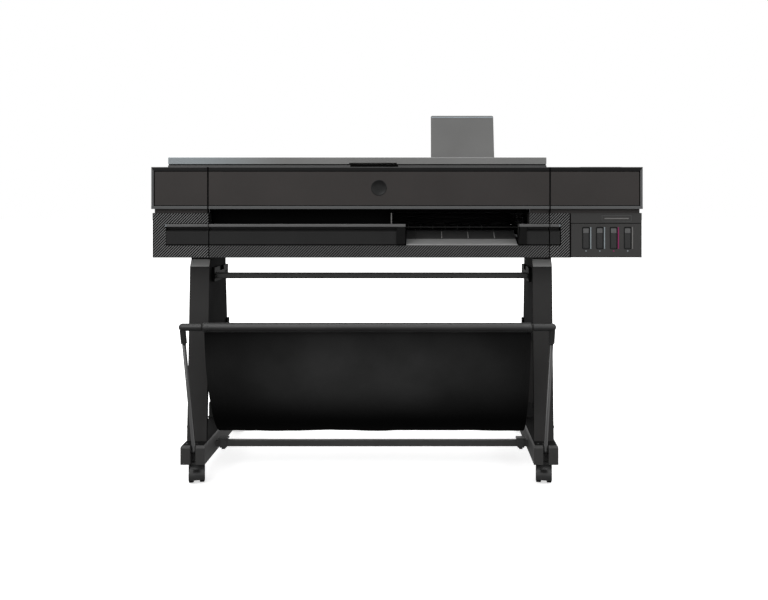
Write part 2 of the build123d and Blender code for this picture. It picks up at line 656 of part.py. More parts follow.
def ink_door():
    door = block(INK_LEFT + 0.7, INNER_HALF, FASCIA_SETBACK, FASCIA_SETBACK + PANEL, 656.2, 753.8)
    for x in WINDOW_X:
        door -= window_pane(x, FASCIA_SETBACK, FASCIA_SETBACK + PANEL)
    for near, far in ((INK_LEFT + 0.7, 508), (697, INNER_HALF)):
        door += block(near, far, FASCIA_SETBACK + PANEL, 22, 657, 667)
    door += rod(INK_LEFT - 1.5, 508, *INK_DOOR_HINGE, 2)
    return door + rod(697, HALF_WIDTH - 1.5, *INK_DOOR_HINGE, 2)


def build_ink():
    save("ink_housing", ink_housing())
    save("ink_cartridges", group([ink_cartridge(x) for x in WINDOW_X]))
    save("ink_door", ink_door())
    panes = [window_pane(x, FASCIA_SETBACK + 1, FASCIA_SETBACK + 3) for x in WINDOW_X]
    save("ink_windows", group(panes))


# Print engine


def rollers(shaft, journal, pitch, length):
    """A shaft between the inner frames with equal rollers along it."""
    depth, height, radius = shaft
    x0, x1 = FRAME_LEFT[0], FRAME_RIGHT[1]
    row = rod(x0, x1, depth, height, journal)
    count = int((FRAME_RIGHT[0] - FRAME_LEFT[1] - 20) // pitch)
    middle = (FRAME_LEFT[1] + FRAME_RIGHT[0]) / 2
    for index in range(count):
        x = middle + (index - (count - 1) / 2) * pitch
        row += rod(x - length / 2, x + length / 2, depth, height, radius)
    return row


def media_spindle():
    depth, height, radius = SPINDLE
    spindle = rod(FRAME_LEFT[0], FRAME_RIGHT[1], depth, height, 8) + rod(-549.5, 385.5, depth, height, radius)
    for near, far in ((-549.5, -539.5), (375.5, 385.5)):
        spindle += rod(near, far, depth, height, 52)
    return spindle


def carriage():
    x0, x1 = CARRIAGE
    body = block(x0, x1, 134, 213.5, 741, 872)
    body = fillet(body.edges().filter_by(Axis.Z), 6)
    body -= block(x0 + 20, x1 - 20, 134, 150, 741, 800)
    return body - rod(x0, x1, *SLIDE_ROD[:2], SLIDE_ROD[2] + RUNNING)


def build_engine():
    x0, x1 = FRAME_LEFT[1], FRAME_RIGHT[0]
    save("platen", block(x0, x1, 128, 272, PLATEN_TOP - 8, PLATEN_TOP))
    feed = rod(x0 + 1, x1 - 1, *FEED_ROLLER) + rod(FRAME_LEFT[0], FRAME_RIGHT[1], *FEED_ROLLER[:2], 5)
    save("feed_roller", feed)
    save("pinch_rollers", rollers(PINCH_ROLLER, 2.5, 100, 50))
    save("exit_rollers", rollers(EXIT_ROLLER, 3, 39, 4))
    save("carriage", carriage())
    beam = block(-690, 690, 218, 246, 780, 880) - block(-690, 690, 220, 246, 782, 878)
    save("carriage_rail", group([rod(-690, 690, *SLIDE_ROD), beam]))
    save("service_station", block(452, 608, 134, 214, BODY_BASE + WALL, 737.5))
    save("media_spindle", media_spindle())


def main():
    os.makedirs("parts", exist_ok=True)
    build_stand()
    build_casters()
    build_basket()
    build_frames()
    build_shell()
    build_top()
    build_rear()
    build_output()
    build_ink()
    build_engine()


main()
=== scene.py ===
"""Looks of the large format plotter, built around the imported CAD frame. Metres, +X right, front faces -Y."""
import json
import math

import bmesh
import bpy
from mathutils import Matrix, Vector, noise


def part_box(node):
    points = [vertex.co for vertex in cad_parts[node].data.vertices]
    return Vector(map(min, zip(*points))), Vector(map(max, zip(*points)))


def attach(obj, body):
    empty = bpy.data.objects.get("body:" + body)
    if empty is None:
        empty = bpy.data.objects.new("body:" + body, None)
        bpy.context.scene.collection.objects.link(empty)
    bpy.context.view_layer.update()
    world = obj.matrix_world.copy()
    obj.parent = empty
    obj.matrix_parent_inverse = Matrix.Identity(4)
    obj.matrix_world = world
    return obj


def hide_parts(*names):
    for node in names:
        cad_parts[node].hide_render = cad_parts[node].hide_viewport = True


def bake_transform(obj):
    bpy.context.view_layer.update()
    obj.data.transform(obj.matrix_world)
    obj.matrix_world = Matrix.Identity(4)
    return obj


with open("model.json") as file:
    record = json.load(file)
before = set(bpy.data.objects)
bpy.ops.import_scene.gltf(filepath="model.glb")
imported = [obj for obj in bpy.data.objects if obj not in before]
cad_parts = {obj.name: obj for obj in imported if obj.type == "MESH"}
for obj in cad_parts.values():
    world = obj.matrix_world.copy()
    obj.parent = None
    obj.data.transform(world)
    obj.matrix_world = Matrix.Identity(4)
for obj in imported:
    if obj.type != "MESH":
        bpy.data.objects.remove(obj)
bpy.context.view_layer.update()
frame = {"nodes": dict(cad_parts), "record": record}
NODES = frame["nodes"]
MM = 0.001

# Places read from the frame
BAND_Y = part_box("front_panel")[0][1]
BAND_Z = (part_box("front_panel")[0][2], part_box("front_panel")[1][2])
TRIM_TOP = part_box("band_trim")[1][2]
BODY_X = (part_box("end_cover_left")[0][0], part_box("end_cover_right")[1][0])
FASCIA_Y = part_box("fascia_center")[0][1]
FASCIA_Z = (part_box("fascia_left")[0][2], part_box("fascia_left")[1][2])
SEAM_LEFT = (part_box("fascia_left")[1][0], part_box("fascia_center")[0][0])
SEAM_RIGHT = (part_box("fascia_center")[1][0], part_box("fascia_right")[0][0])
GUIDE_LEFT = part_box("output_guide_left")
GUIDE_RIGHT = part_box("output_guide_right")
INK_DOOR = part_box("ink_door")
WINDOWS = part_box("ink_windows")
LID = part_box("print_cover")
FLOOR_Z = 0.0

# Sizes that belong to the looks alone
SLOT_RIGHT = 381 * MM  # right end of the output slot
RECESS_RIGHT = 473 * MM
RECESS_Z = (690.8 * MM, 754.4 * MM)
RIB_PITCH = 8.1 * MM  # along X; the ribs run at 45 degrees
RIB_HEIGHT = 0.9 * MM
SKIN = 0.5 * MM  # how far a rib's valley stands off the fascia
INK_LEFT = 502 * MM
WINDOW_X = [545.5 * MM, 585.3 * MM, 625.4 * MM, 665.9 * MM]
LID_GROOVE = (924 * MM, 927.4 * MM)  # the shadow gap under the lid's face
SLEEVE_LENGTH = 70 * MM  # how much fabric goes round each tube

# Materials


def new_material(name):
    material = bpy.data.materials.new(name)
    material.use_nodes = True
    return material, material.node_tree.nodes, material.node_tree.links


def noise_node(nodes, links, scale, detail=3.0, stretch=(1.0, 1.0, 1.0)):
    """Noise in the object's own coordinates, in metres, with an optional stretch."""
    coords = nodes.new("ShaderNodeTexCoord")
    mapping = nodes.new("ShaderNodeMapping")
    mapping.inputs["Scale"].default_value = stretch
    texture = nodes.new("ShaderNodeTexNoise")
    texture.inputs["Scale"].default_value = scale
    texture.inputs["Detail"].default_value = detail
    links.new(coords.outputs["Object"], mapping.inputs["Vector"])
    links.new(mapping.outputs["Vector"], texture.inputs["Vector"])
    return texture


def ranged(nodes, links, source, low, high):
    """A noise value mapped from its middle range to low..high."""
    mapped = nodes.new("ShaderNodeMapRange")
    mapped.inputs["From Min"].default_value = 0.3
    mapped.inputs["From Max"].default_value = 0.7
    mapped.inputs["To Min"].default_value = low
    mapped.inputs["To Max"].default_value = high
    links.new(source, mapped.inputs["Value"])
    return mapped.outputs["Result"]


def two_tone(nodes, links, fac, first, second):
    mix = nodes.new("ShaderNodeMix")
    mix.data_type = "RGBA"
    mix.inputs[6].default_value = (*first, 1)
    mix.inputs[7].default_value = (*second, 1)
    links.new(fac, mix.inputs[0])
    return mix.outputs[2]


def bumped(nodes, links, height, shader, distance):
    bump = nodes.new("ShaderNodeBump")
    bump.inputs["Strength"].default_value = 0.6
    bump.inputs["Distance"].default_value = distance
    links.new(height, bump.inputs["Height"])
    links.new(bump.outputs["Normal"], shader.inputs["Normal"])


def grained(name, color, rough=0.5, grain=1500.0, depth=0.05 * MM, mottle=0.12, metallic=0.0, specular=0.5,
            stretch=(1.0, 1.0, 1.0), coat=0.0):
    """Moulded plastic, powder coat or brushed metal: a fine grain with slow changes of tone and gloss."""
    material, nodes, links = new_material(name)
    shader = nodes["Principled BSDF"]
    shader.inputs["Metallic"].default_value = metallic
    shader.inputs["Specular IOR Level"].default_value = specular
    shader.inputs["Coat Weight"].default_value = coat
    slow = noise_node(nodes, links, 9.0, 4.0, stretch)
    fine = noise_node(nodes, links, grain, 2.0, stretch)
    darker = [c * (1 - mottle) for c in color]
    lighter = [min(c * (1 + mottle), 1.0) for c in color]
    tone = two_tone(nodes, links, ranged(nodes, links, slow.outputs["Fac"], 0.0, 1.0), darker, lighter)
    links.new(tone, shader.inputs["Base Color"])
    gloss = ranged(nodes, links, slow.outputs["Fac"], max(rough - 0.05, 0.03), rough + 0.06)
    links.new(gloss, shader.inputs["Roughness"])
    bumped(nodes, links, fine.outputs["Fac"], shader, depth)
    return material


def paint_cloth_light_and_shade(nodes, links, color, cloth):
    """Painted light and shade on the cloth: a painted highlight leaves it palest across the middle of its
    front, and painted shade makes it deeper black in the trough and at the sides.
    """
    product = color
    for axis, low, high in (("Y", 0.02, 0.2), ("Y", 0.4, 0.22), ("X", -0.62, -0.1), ("X", 0.46, -0.06)):
        amount = along(nodes, links, cloth, axis, low, high)
        level = nodes.new("ShaderNodeMapRange")
        level.inputs["To Min"].default_value = 0.3 if axis == "X" else (0.3 if low < high else 0.0)
        links.new(amount, level.inputs["Value"])
        scaled = nodes.new("ShaderNodeMix")
        scaled.data_type = "RGBA"
        scaled.inputs[6].default_value = (0, 0, 0, 1)
        links.new(level.outputs["Result"], scaled.inputs[0])
        links.new(product, scaled.inputs[7])
        product = scaled.outputs[2]
    return product


def woven(name, color, thread=1.1 * MM, specular=0.04, rough=0.75, paint_light_and_shade=True):
    """Plain-weave fabric: two crossed bands of threads, with a soft sheen."""
    material, nodes, links = new_material(name)
    shader = nodes["Principled BSDF"]
    shader.inputs["Sheen Weight"].default_value = 0.008
    shader.inputs["Sheen Roughness"].default_value = 0.5
    shader.inputs["Specular IOR Level"].default_value = specular
    uv = nodes.new("ShaderNodeUVMap")
    uv.uv_map = "cloth"
    threads = []
    for direction in ("X", "Y"):
        wave = nodes.new("ShaderNodeTexWave")
        wave.bands_direction = direction
        wave.inputs["Scale"].default_value = 1 / (thread * 20) * math.pi
        wave.inputs["Distortion"].default_value = 0.6
        wave.inputs["Detail Scale"].default_value = 2.0
        links.new(uv.outputs["UV"], wave.inputs["Vector"])
        threads.append(wave.outputs["Fac"])
    weave = nodes.new("ShaderNodeMath")
    weave.operation = "MULTIPLY"
    links.new(threads[0], weave.inputs[0])
    links.new(threads[1], weave.inputs[1])
    slow = noise_node(nodes, links, 6.0, 5.0)
    cloud = ranged(nodes, links, slow.outputs["Fac"], 0.0, 1.0)
    base = two_tone(nodes, links, cloud, [c * 0.8 for c in color], [c * 1.25 for c in color])
    # Painted highlight across the middle of the cloth's front and painted shade in its trough and at its
    # sides.
    if paint_light_and_shade:
        base = paint_cloth_light_and_shade(nodes, links, base, uv.outputs["UV"])
    lit = nodes.new("ShaderNodeMix")
    lit.data_type = "RGBA"
    lit.blend_type = "MULTIPLY"
    lit.inputs[0].default_value = 0.5
    links.new(base, lit.inputs[6])
    links.new(weave.outputs[0], lit.inputs[7])
    links.new(lit.outputs[2], shader.inputs["Base Color"])
    links.new(ranged(nodes, links, slow.outputs["Fac"], rough, rough + 0.12), shader.inputs["Roughness"])
    bumped(nodes, links, weave.outputs[0], shader, 0.25 * MM)
    return material


def along(nodes, links, source, axis, low, high):
    """A smooth 0..1 step along one axis of a coordinate output, between two places in metres."""
    split = nodes.new("ShaderNodeSeparateXYZ")
    step = nodes.new("ShaderNodeMapRange")
    step.interpolation_type = "SMOOTHSTEP"
    step.inputs["From Min"].default_value = low
    step.inputs["From Max"].default_value = high
    links.new(source, split.inputs["Vector"])
    links.new(split.outputs[axis], step.inputs["Value"])
    return step.outputs["Result"]


def lid_plastic(name, color, painted_reflection_color):
    """Grey lid plastic with a painted reflection that pales it towards the left end."""
    material = grained(name, color, 0.42, 1300, 0.05 * MM, 0.06, specular=0.3)
    nodes, links = material.node_tree.nodes, material.node_tree.links
    shader = nodes["Principled BSDF"]
    tone = shader.inputs["Base Color"].links[0].from_socket
    coords = nodes.new("ShaderNodeTexCoord")
    # Painted reflection: towards the left end the colour blends into a paler, bluer tone.
    blend = nodes.new("ShaderNodeMix")
    blend.data_type = "RGBA"
    blend.inputs[6].default_value = (*painted_reflection_color, 1)
    links.new(along(nodes, links, coords.outputs["Object"], "X", -0.64, -0.3), blend.inputs[0])
    links.new(tone, blend.inputs[7])
    links.new(blend.outputs[2], shader.inputs["Base Color"])
    return material


def tinted_glass(name, color):
    """The smoked clear windows of the ink door: glossy, with a faint haze."""
    material, nodes, links = new_material(name)
    shader = nodes["Principled BSDF"]
    shader.inputs["Specular IOR Level"].default_value = 0.25
    haze = noise_node(nodes, links, 40.0, 4.0)
    links.new(two_tone(nodes, links, haze.outputs["Fac"], color, [c * 1.5 for c in color]),
              shader.inputs["Base Color"])
    links.new(ranged(nodes, links, haze.outputs["Fac"], 0.12, 0.22), shader.inputs["Roughness"])
    return material


MATERIALS = {
    "band": grained("band_grain", (0.037, 0.033, 0.0315), 0.42, 1800, 0.03 * MM, 0.06, specular=0.2),
    # band_dark is a painted near-black reflection on the band's top bevels, painted shadow in the gap under
    # the lid, and the side grips' own dark plastic; band_side is a painted mid-grey reflection on the band's
    # side bevels.
    "band_dark": grained("band_dark_plastic_and_painted_shade", (0.005, 0.005, 0.005), 0.4, 1800, 0.03 * MM, specular=0.12),
    "band_side": grained("band_rim_side_painted_reflection", (0.085, 0.086, 0.087), 0.35, 1800, 0.02 * MM, specular=0.35),
    "trim": grained("trim_brushed", (0.095, 0.097, 0.098), 0.32, 700, 0.02 * MM, 0.1, 0.4, 0.4, (0.04, 1, 1)),
    "fascia": grained("fascia_grain", (0.026, 0.0255, 0.025), 0.45, 1700, 0.03 * MM, 0.08, specular=0.2),
    # The ribs' pale crests and dark slopes and valleys are painted highlight and painted shade, lit and shaded
    # copies of the fascia plastic; the rear vent slats take the crests' painted highlight.
    "valley": grained("fascia_valleys_painted_shade", (0.003, 0.003, 0.003), 0.5, 1700, 0.02 * MM, 0.1, specular=0.12),
    "valley_soft": grained("middle_valleys_painted_shade", (0.02, 0.02, 0.02), 0.5, 1700, 0.02 * MM, 0.1, specular=0.12),
    "ribs_soft": grained("middle_rib_crests_painted_highlight", (0.105, 0.105, 0.105), 0.4, 1700, 0.02 * MM, 0.1, specular=0.3),
    "ribs": grained("fascia_rib_crests_painted_highlight", (0.172, 0.172, 0.172), 0.4, 1700, 0.02 * MM, 0.1, specular=0.35),
    # neck is painted shade in the recessed gap under the band.
    "neck": grained("neck_painted_shade", (0.015, 0.015, 0.015), 0.55, 1700, 0.04 * MM, specular=0.1),
    "deck": grained("deck_grain", (0.02, 0.02, 0.02), 0.5, 1300, 0.06 * MM, 0.08, specular=0.15),
    "deck_rim": grained("deck_rim_grey", (0.045, 0.045, 0.045), 0.4, 1300, 0.04 * MM, 0.08, specular=0.3),
    "plate": grained("name_plate_grey", (0.075, 0.075, 0.075), 0.35, 1500, 0.02 * MM, specular=0.2),
    "bezel": grained("window_frame", (0.006, 0.006, 0.006), 0.4, 1500, 0.02 * MM, specular=0.12),
    # The lid's paler, bluer left end is a painted reflection.
    "lid": lid_plastic("lid_grain_and_painted_reflection", (0.18, 0.181, 0.178), (0.27, 0.3, 0.315)),
    "black": grained("inner_black", (0.0012, 0.0012, 0.0012), 0.7, 1200, 0.04 * MM, specular=0.04),
    "guide": grained("guide_plastic", (0.019, 0.019, 0.019), 0.5, 1500, 0.04 * MM, 0.1, specular=0.14),
    "guide_end": grained("guide_end_plastic", (0.006, 0.006, 0.006), 0.5, 1500, 0.04 * MM, 0.1,
                         specular=0.08),
    # The guide lips and the ramp lip are painted light grey as highlight on their upward-facing tops.
    "guide_lip": grained("guide_lip_painted_highlight", (0.1, 0.1, 0.1), 0.38, 1500, 0.03 * MM, specular=0.35),
    "ramp": grained("ramp_plastic", (0.05, 0.05, 0.05), 0.42, 1500, 0.03 * MM, 0.1, specular=0.2),
    "ramp_lip": grained("ramp_lip_painted_highlight", (0.25, 0.25, 0.248), 0.4, 1500, 0.03 * MM, specular=0.35),
    "coat": grained("stand_powder_coat", (0.027, 0.0262, 0.0258), 0.45, 1000, 0.1 * MM, 0.1, specular=0.2),
    "foot_coat": grained("foot_powder_coat", (0.038, 0.0375, 0.037), 0.4, 1000, 0.1 * MM, 0.1, specular=0.3),
    # The crossbars' coat is a paler copy of the stand's coat, painted light against the shade from the body
    # above.
    "bar_coat": grained("crossbar_painted_light_coat", (0.048, 0.048, 0.047), 0.4, 1000, 0.06 * MM, 0.1, specular=0.4),
    # leg_inner is painted shade on the legs' inner sides and the feet's tops; foot_inner is painted light on
    # the feet's inner sides.
    "leg_inner": grained("leg_inner_painted_shade_coat", (0.01, 0.01, 0.01), 0.7, 1000, 0.06 * MM, 0.1, specular=0.04),
    "foot_inner": grained("foot_inner_painted_light_coat", (0.094, 0.093, 0.092), 0.5, 1000, 0.06 * MM, 0.1, specular=0.3),
    "clamp": grained("lower_clamp_plastic", (0.05, 0.05, 0.05), 0.4, 1300, 0.05 * MM, specular=0.3),
    "elbow": grained("elbow_plastic", (0.028, 0.028, 0.028), 0.35, 1300, 0.05 * MM, specular=0.35),
    "arm": grained("arm_gloss_coat", (0.022, 0.022, 0.022), 0.22, 900, 0.01 * MM, 0.1, specular=0.5,
                   coat=0.3),
    # The leg shoulders' near-white is painted light in the shade under the body.
    "painted_light_facet": grained("leg_shoulder_painted_light", (0.56, 0.56, 0.55), 0.4, 1000, 0.06 * MM, 0.1, specular=0.5),
    "ink": grained("ink_door_grain", (0.046, 0.045, 0.044), 0.45, 1700, 0.03 * MM, 0.08, specular=0.2),
    "support": grained("support_grain", (0.112, 0.112, 0.11), 0.42, 1300, 0.05 * MM, 0.06, specular=0.3),
    "stand_plastic": grained("stand_plastic", (0.003, 0.003, 0.003), 0.5, 1300, 0.05 * MM, specular=0.06),
    "bracket": grained("bracket_plastic", (0.012, 0.012, 0.012), 0.5, 1300, 0.05 * MM, specular=0.15),
    "caster": grained("caster_plastic", (0.036, 0.036, 0.036), 0.32, 1300, 0.03 * MM, specular=0.35),
    "tyre": grained("caster_tread", (0.016, 0.016, 0.016), 0.7, 1100, 0.08 * MM, specular=0.15),
    "steel": grained("zinc_steel", (0.3, 0.3, 0.31), 0.35, 500, 0.02 * MM, 0.12, 0.9),
    "steel_dark": grained("black_screw_steel", (0.05, 0.05, 0.05), 0.3, 600, 0.01 * MM, 0.1, 0.8),
    "rubber": grained("roller_rubber", (0.012, 0.012, 0.012), 0.75, 1600, 0.05 * MM, specular=0.1),
    "gloss": grained("panel_gloss", (0.006, 0.006, 0.007), 0.14, 900, 0.005 * MM, 0.2, specular=0.25),
    "cartridge": grained("cartridge_plastic", (0.02, 0.02, 0.02), 0.45, 1400, 0.03 * MM, specular=0.2),
    # marker_pale_and_painted_highlight is the ink markers' own colour and also the painted highlight on the
    # guide lips' end caps.
    "pale": grained("marker_pale_and_painted_highlight", (0.25, 0.285, 0.305), 0.5, 1500, 0.02 * MM, specular=0.3),
    "magenta": grained("marker_magenta", (0.25, 0.014, 0.1), 0.5, 1500, 0.02 * MM, specular=0.25),
    "neutral": grained("marker_neutral", (0.17, 0.165, 0.16), 0.5, 1500, 0.02 * MM, specular=0.25),
    "label": grained("label_grey", (0.11, 0.11, 0.11), 0.5, 1500, 0.02 * MM, specular=0.25),
    "badge": grained("badge_plastic", (0.014, 0.014, 0.014), 0.3, 1500, 0.02 * MM, specular=0.15),
    "window": tinted_glass("smoked_window", (0.022, 0.022, 0.022)),
    "fabric": woven("basket_weave", (0.056, 0.056, 0.056)),
    "hem": woven("basket_hem_weave", (0.037, 0.037, 0.037), 0.8 * MM, 0.5, 0.32, False),
}


# Helpers for pieces


def piece(name, mesh, material, body="printer", slot=None):
    """Links a mesh as a piece that rides on a body."""
    shape = bpy.data.objects.new(name, mesh)
    bpy.context.scene.collection.objects.link(shape)
    mesh.materials.append(MATERIALS[material])
    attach(shape, body)
    return shape


def mesh_from(name, verts, faces):
    mesh = bpy.data.meshes.new(name)
    mesh.from_pydata([tuple(v) for v in verts], [], faces)
    mesh.validate()
    tidy = bmesh.new()
    tidy.from_mesh(mesh)
    bmesh.ops.remove_doubles(tidy, verts=tidy.verts, dist=0.002 * MM)
    bmesh.ops.recalc_face_normals(tidy, faces=tidy.faces)
    tidy.to_mesh(mesh)
    tidy.free()
    return mesh


def bevel(shape, width, segments=3, angle=35):
    """Softens the edges of a piece and shades it smoothly between them."""
    modifier = shape.modifiers.new("soft_edges", "BEVEL")
    modifier.width = width
    modifier.segments = segments
    modifier.limit_method = "ANGLE"
    modifier.angle_limit = math.radians(angle)
    modifier.harden_normals = True
    shape.data.shade_smooth()
    return shape


def outline_solid(name, outline, axis, low, high, material, width=0.5 * MM, **riding):
    """A closed outline of two coordinates pulled from low to high along an axis, with softened edges."""
    order = {
        "x": lambda u, v, w: (w, u, v),
        "y": lambda u, v, w: (u, w, v),
        "z": lambda u, v, w: (u, v, w),
    }[axis]
    count = len(outline)
    verts = [order(u, v, low) for u, v in outline] + [order(u, v, high) for u, v in outline]
    faces = [tuple(range(count)), tuple(range(2 * count - 1, count - 1, -1))]
    faces += [(i, (i + 1) % count, (i + 1) % count + count, i + count) for i in range(count)]
    return bevel(piece(name, mesh_from(name, verts, faces), material, **riding), width)


def rect(u0, u1, v0, v1):
    """The outline of a rectangle."""
    return [(u0, v0), (u1, v0), (u1, v1), (u0, v1)]


def rounded(u0, u1, v0, v1, radius, steps=6):
    """A rectangle with round corners, as outline points."""
    points = []
    for cu, cv, start in ((u1 - radius, v1 - radius, 0), (u0 + radius, v1 - radius, 90),
                          (u0 + radius, v0 + radius, 180), (u1 - radius, v0 + radius, 270)):
        for step in range(steps + 1):
            angle = math.radians(start + 90 * step / steps)
            points.append((cu + radius * math.cos(angle), cv + radius * math.sin(angle)))
    return points


def ring_points(u, v, radius, steps=40):
    return [(u + radius * math.cos(2 * math.pi * i / steps), v + radius * math.sin(2 * math.pi * i / steps))
            for i in range(steps)]


def lathe(name, sections, material, axis="x", centre=(0, 0, 0), steps=48, **riding):
    """A turned piece: (distance along the axis, radius) sections swept round it."""
    verts, faces = [], []
    for along, radius in sections:
        for u, v in ring_points(0, 0, radius, steps):
            local = {"x": (along, u, v), "y": (u, along, v), "z": (u, v, along)}[axis]
            verts.append([a + b for a, b in zip(local, centre)])
    for row in range(len(sections) - 1):
        for i in range(steps):
            a, b = row * steps + i, row * steps + (i + 1) % steps
            faces.append((a, b, b + steps, a + steps))
    faces.append(tuple(range(steps)))
    faces.append(tuple(range(len(verts) - 1, len(verts) - 1 - steps, -1)))
    shape = piece(name, mesh_from(name, verts, faces), material, **riding)
    shape.data.shade_smooth()
    shape.data.set_sharp_from_angle(angle=math.radians(40))
    return shape


def finish_node(name, material, width=0.6 * MM):
    """Gives a CAD node its material and softened edges."""
    node = NODES[name]
    node.data.materials.clear()
    node.data.materials.append(MATERIALS[material])
    weld = node.modifiers.new("weld", "WELD")
    weld.merge_threshold = 0.005 * MM
    flat = node.modifiers.new("flat_faces", "DECIMATE")
    flat.decimate_type = "DISSOLVE"
    flat.angle_limit = math.radians(0.4)
    if width:
        bevel(node, width, 2, 38)
        even = node.modifiers.new("even_shading", "WEIGHTED_NORMAL")
        even.weight = 100
        even.keep_sharp = True
    else:
        node.data.shade_smooth()
        node.data.set_sharp_from_angle(angle=math.radians(35))


CAD_FINISHES = {
    "band": ("end_cover_left", "end_cover_right", "front_panel"),
    "trim": ("band_trim",),
    "fascia": ("fascia_left", "fascia_center", "rear_panel", "roll_cover"),
    "ink": ("ink_door", "fascia_right"),
    "support": ("sheet_support",),
    "foot_coat": ("foot_left", "foot_right"),
    # The crossbars take the paler coat as painted light.
    "bar_coat": ("upper_crossbar", "lower_crossbar"),
    "deck": ("top_deck",),
    "lid": ("print_cover", "sheet_guide_left", "sheet_guide_right"),
    "black": ("slot_shutter", "platen", "service_station", "ink_housing", "carriage", "power_inlet",
              "base_pan", "exit_rollers"),
    "ramp": ("output_ramp",),
    "coat": ("leg_left", "leg_right", "basket_rear_tube", "basket_bar"),
    "arm": ("basket_arms",),
    "elbow": ("basket_elbows",),
    "stand_plastic": ("crossbar_clamps", "tube_brackets"),
    "bracket": ("post_sockets", "brake_lever_left", "brake_lever_right"),
    "caster": tuple(f"caster_hood_{end}_{side}" for end in ("front", "rear") for side in ("left", "right")),
    "steel": ("end_frames", "carriage_rail"),
    "rubber": ("feed_roller", "pinch_rollers"),
    "cartridge": ("ink_cartridges", "media_spindle", "power_button"),
    "gloss": ("control_panel",),
    "window": ("ink_windows",),
}


def repaint(name, material, chosen, index=1):
    """Gives some faces of a CAD node another material, picked by their centre and normal."""
    mesh = NODES[name].data
    mesh.materials.append(MATERIALS[material])
    for face in mesh.polygons:
        if chosen(face.center, face.normal):
            face.material_index = index


def finish_cad_nodes():
    sharp = {"basket_arms": 0, "basket_bar": 0, "basket_rear_tube": 0, "exit_rollers": 0, "pinch_rollers": 0,
             "feed_roller": 0, "carriage_rail": 0, "end_frames": 0, "band_trim": 0.4 * MM,
             "ink_windows": 0.3 * MM}
    for material, names in CAD_FINISHES.items():
        for name in names:
            finish_node(name, material, sharp.get(name, 0.7 * MM))
    for end in ("front", "rear"):
        for side in ("left", "right"):
            finish_node(f"caster_wheels_{end}_{side}", "tyre", 0)
    # Painted shade on the legs' inner sides and on the feet's tops, and painted light on the feet's inner
    # sides, picked by face normal.
    for side, inward in (("left", 1), ("right", -1)):
        repaint(f"leg_{side}", "leg_inner", lambda centre, normal: normal.x * inward > 0.7)
        repaint(f"foot_{side}", "foot_inner", lambda centre, normal: normal.x * inward > 0.7)
        repaint(f"foot_{side}", "leg_inner", lambda centre, normal: normal.z > 0.9, 2)
    repaint("crossbar_clamps", "clamp", lambda centre, normal: centre.z < 300 * MM)


# Ribbed fascia


def clip(polygon, limit, keep_above, value):
    """The part of a polygon where value(point) is above, or below, a limit."""
    kept = []
    for i, point in enumerate(polygon):
        after = polygon[(i + 1) % len(polygon)]
        a, b = value(point) - limit, value(after) - limit
        if not keep_above:
            a, b = -a, -b
        if a >= 0:
            kept.append(point)
        if (a > 0 > b) or (a < 0 < b):
            share = a / (a - b)
            kept.append((point[0] + (after[0] - point[0]) * share, point[1] + (after[1] - point[1]) * share))
    return kept


def rib_depth(across):
    """Height of the rib profile at a place across the ribs: a flat crest, a flat valley and two slopes."""
    phase = (across / RIB_PITCH) % 1.0
    if phase < 0.34:
        return 1.0
    if phase < 0.44:
        return (0.44 - phase) / 0.1
    if phase < 0.9:
        return 0.0
    return (phase - 0.9) / 0.1


def rib_field(name, rectangles, base_y, crest="ribs", valley="valley"):
    """Diagonal ribs over some rectangles of one flat panel, as one closed skin, with painted highlight on the
    crests and painted shade on the slopes and valleys.
    """
    build = bmesh.new()
    across = lambda point: point[0] - point[1]
    for x0, x1, z0, z1 in rectangles:
        start = math.floor((x0 - z1) / RIB_PITCH)
        stop = math.ceil((x1 - z0) / RIB_PITCH)
        breaks = sorted((n + part) * RIB_PITCH for n in range(start, stop + 1)
                        for part in (0, 0.34, 0.44, 0.9))
        for step, (low, high) in enumerate(zip(breaks, breaks[1:])):
            strip = clip(rect(x0, x1, z0, z1), low, True, across)
            strip = clip(strip, high, False, across) if strip else strip
            if len(strip) < 3:
                continue
            inside = 1e-7
            corners = []
            for x, z in strip:
                place = min(max(across((x, z)), low + inside), high - inside)
                corners.append(build.verts.new((x, base_y - SKIN - RIB_HEIGHT * rib_depth(place), z)))
            # Crests take the painted-highlight material, slopes and valleys the painted-shade one.
            build.faces.new(corners).material_index = 0 if step % 4 == 0 else 1
    bmesh.ops.remove_doubles(build, verts=build.verts, dist=0.02 * MM)
    rim = [edge for edge in build.edges if edge.is_boundary]
    lowered = bmesh.ops.extrude_edge_only(build, edges=rim)["geom"]
    for vert in (item for item in lowered if isinstance(item, bmesh.types.BMVert)):
        vert.co.y = base_y
    bmesh.ops.recalc_face_normals(build, faces=build.faces)
    mesh = bpy.data.meshes.new(name)
    build.to_mesh(mesh)
    build.free()
    field = piece(name, mesh, crest, slot="fascia_plastic")
    mesh.materials.append(MATERIALS[valley])
    return field


def build_ribs():
    low, high = FASCIA_Z
    margin = 1.2 * MM
    left, right = BODY_X[0] + margin, SEAM_LEFT[0]
    recess = GUIDE_LEFT[0][0] - 0.6 * MM
    rib_field("ribs_left", [
        (left, recess, low + margin, high - margin),
        (recess, right, RECESS_Z[1], high - margin),
        (recess, right, low + margin, RECESS_Z[0]),
    ], FASCIA_Y)
    rib_field("ribs_center", [
        (SEAM_LEFT[1], SEAM_RIGHT[0], low + margin, RECESS_Z[0]),
        (SLOT_RIGHT + margin, SEAM_RIGHT[0], RECESS_Z[1], high - margin),
    ], FASCIA_Y, "ribs_soft", "valley_soft")
    far = INK_LEFT - 4.5 * MM
    rib_field("ribs_right", [
        (SEAM_RIGHT[1], RECESS_RIGHT, RECESS_Z[1], high - margin),
        (SEAM_RIGHT[1], RECESS_RIGHT, low + margin, RECESS_Z[0]),
        (RECESS_RIGHT, far, low + margin, high - margin),
    ], FASCIA_Y)


# Band


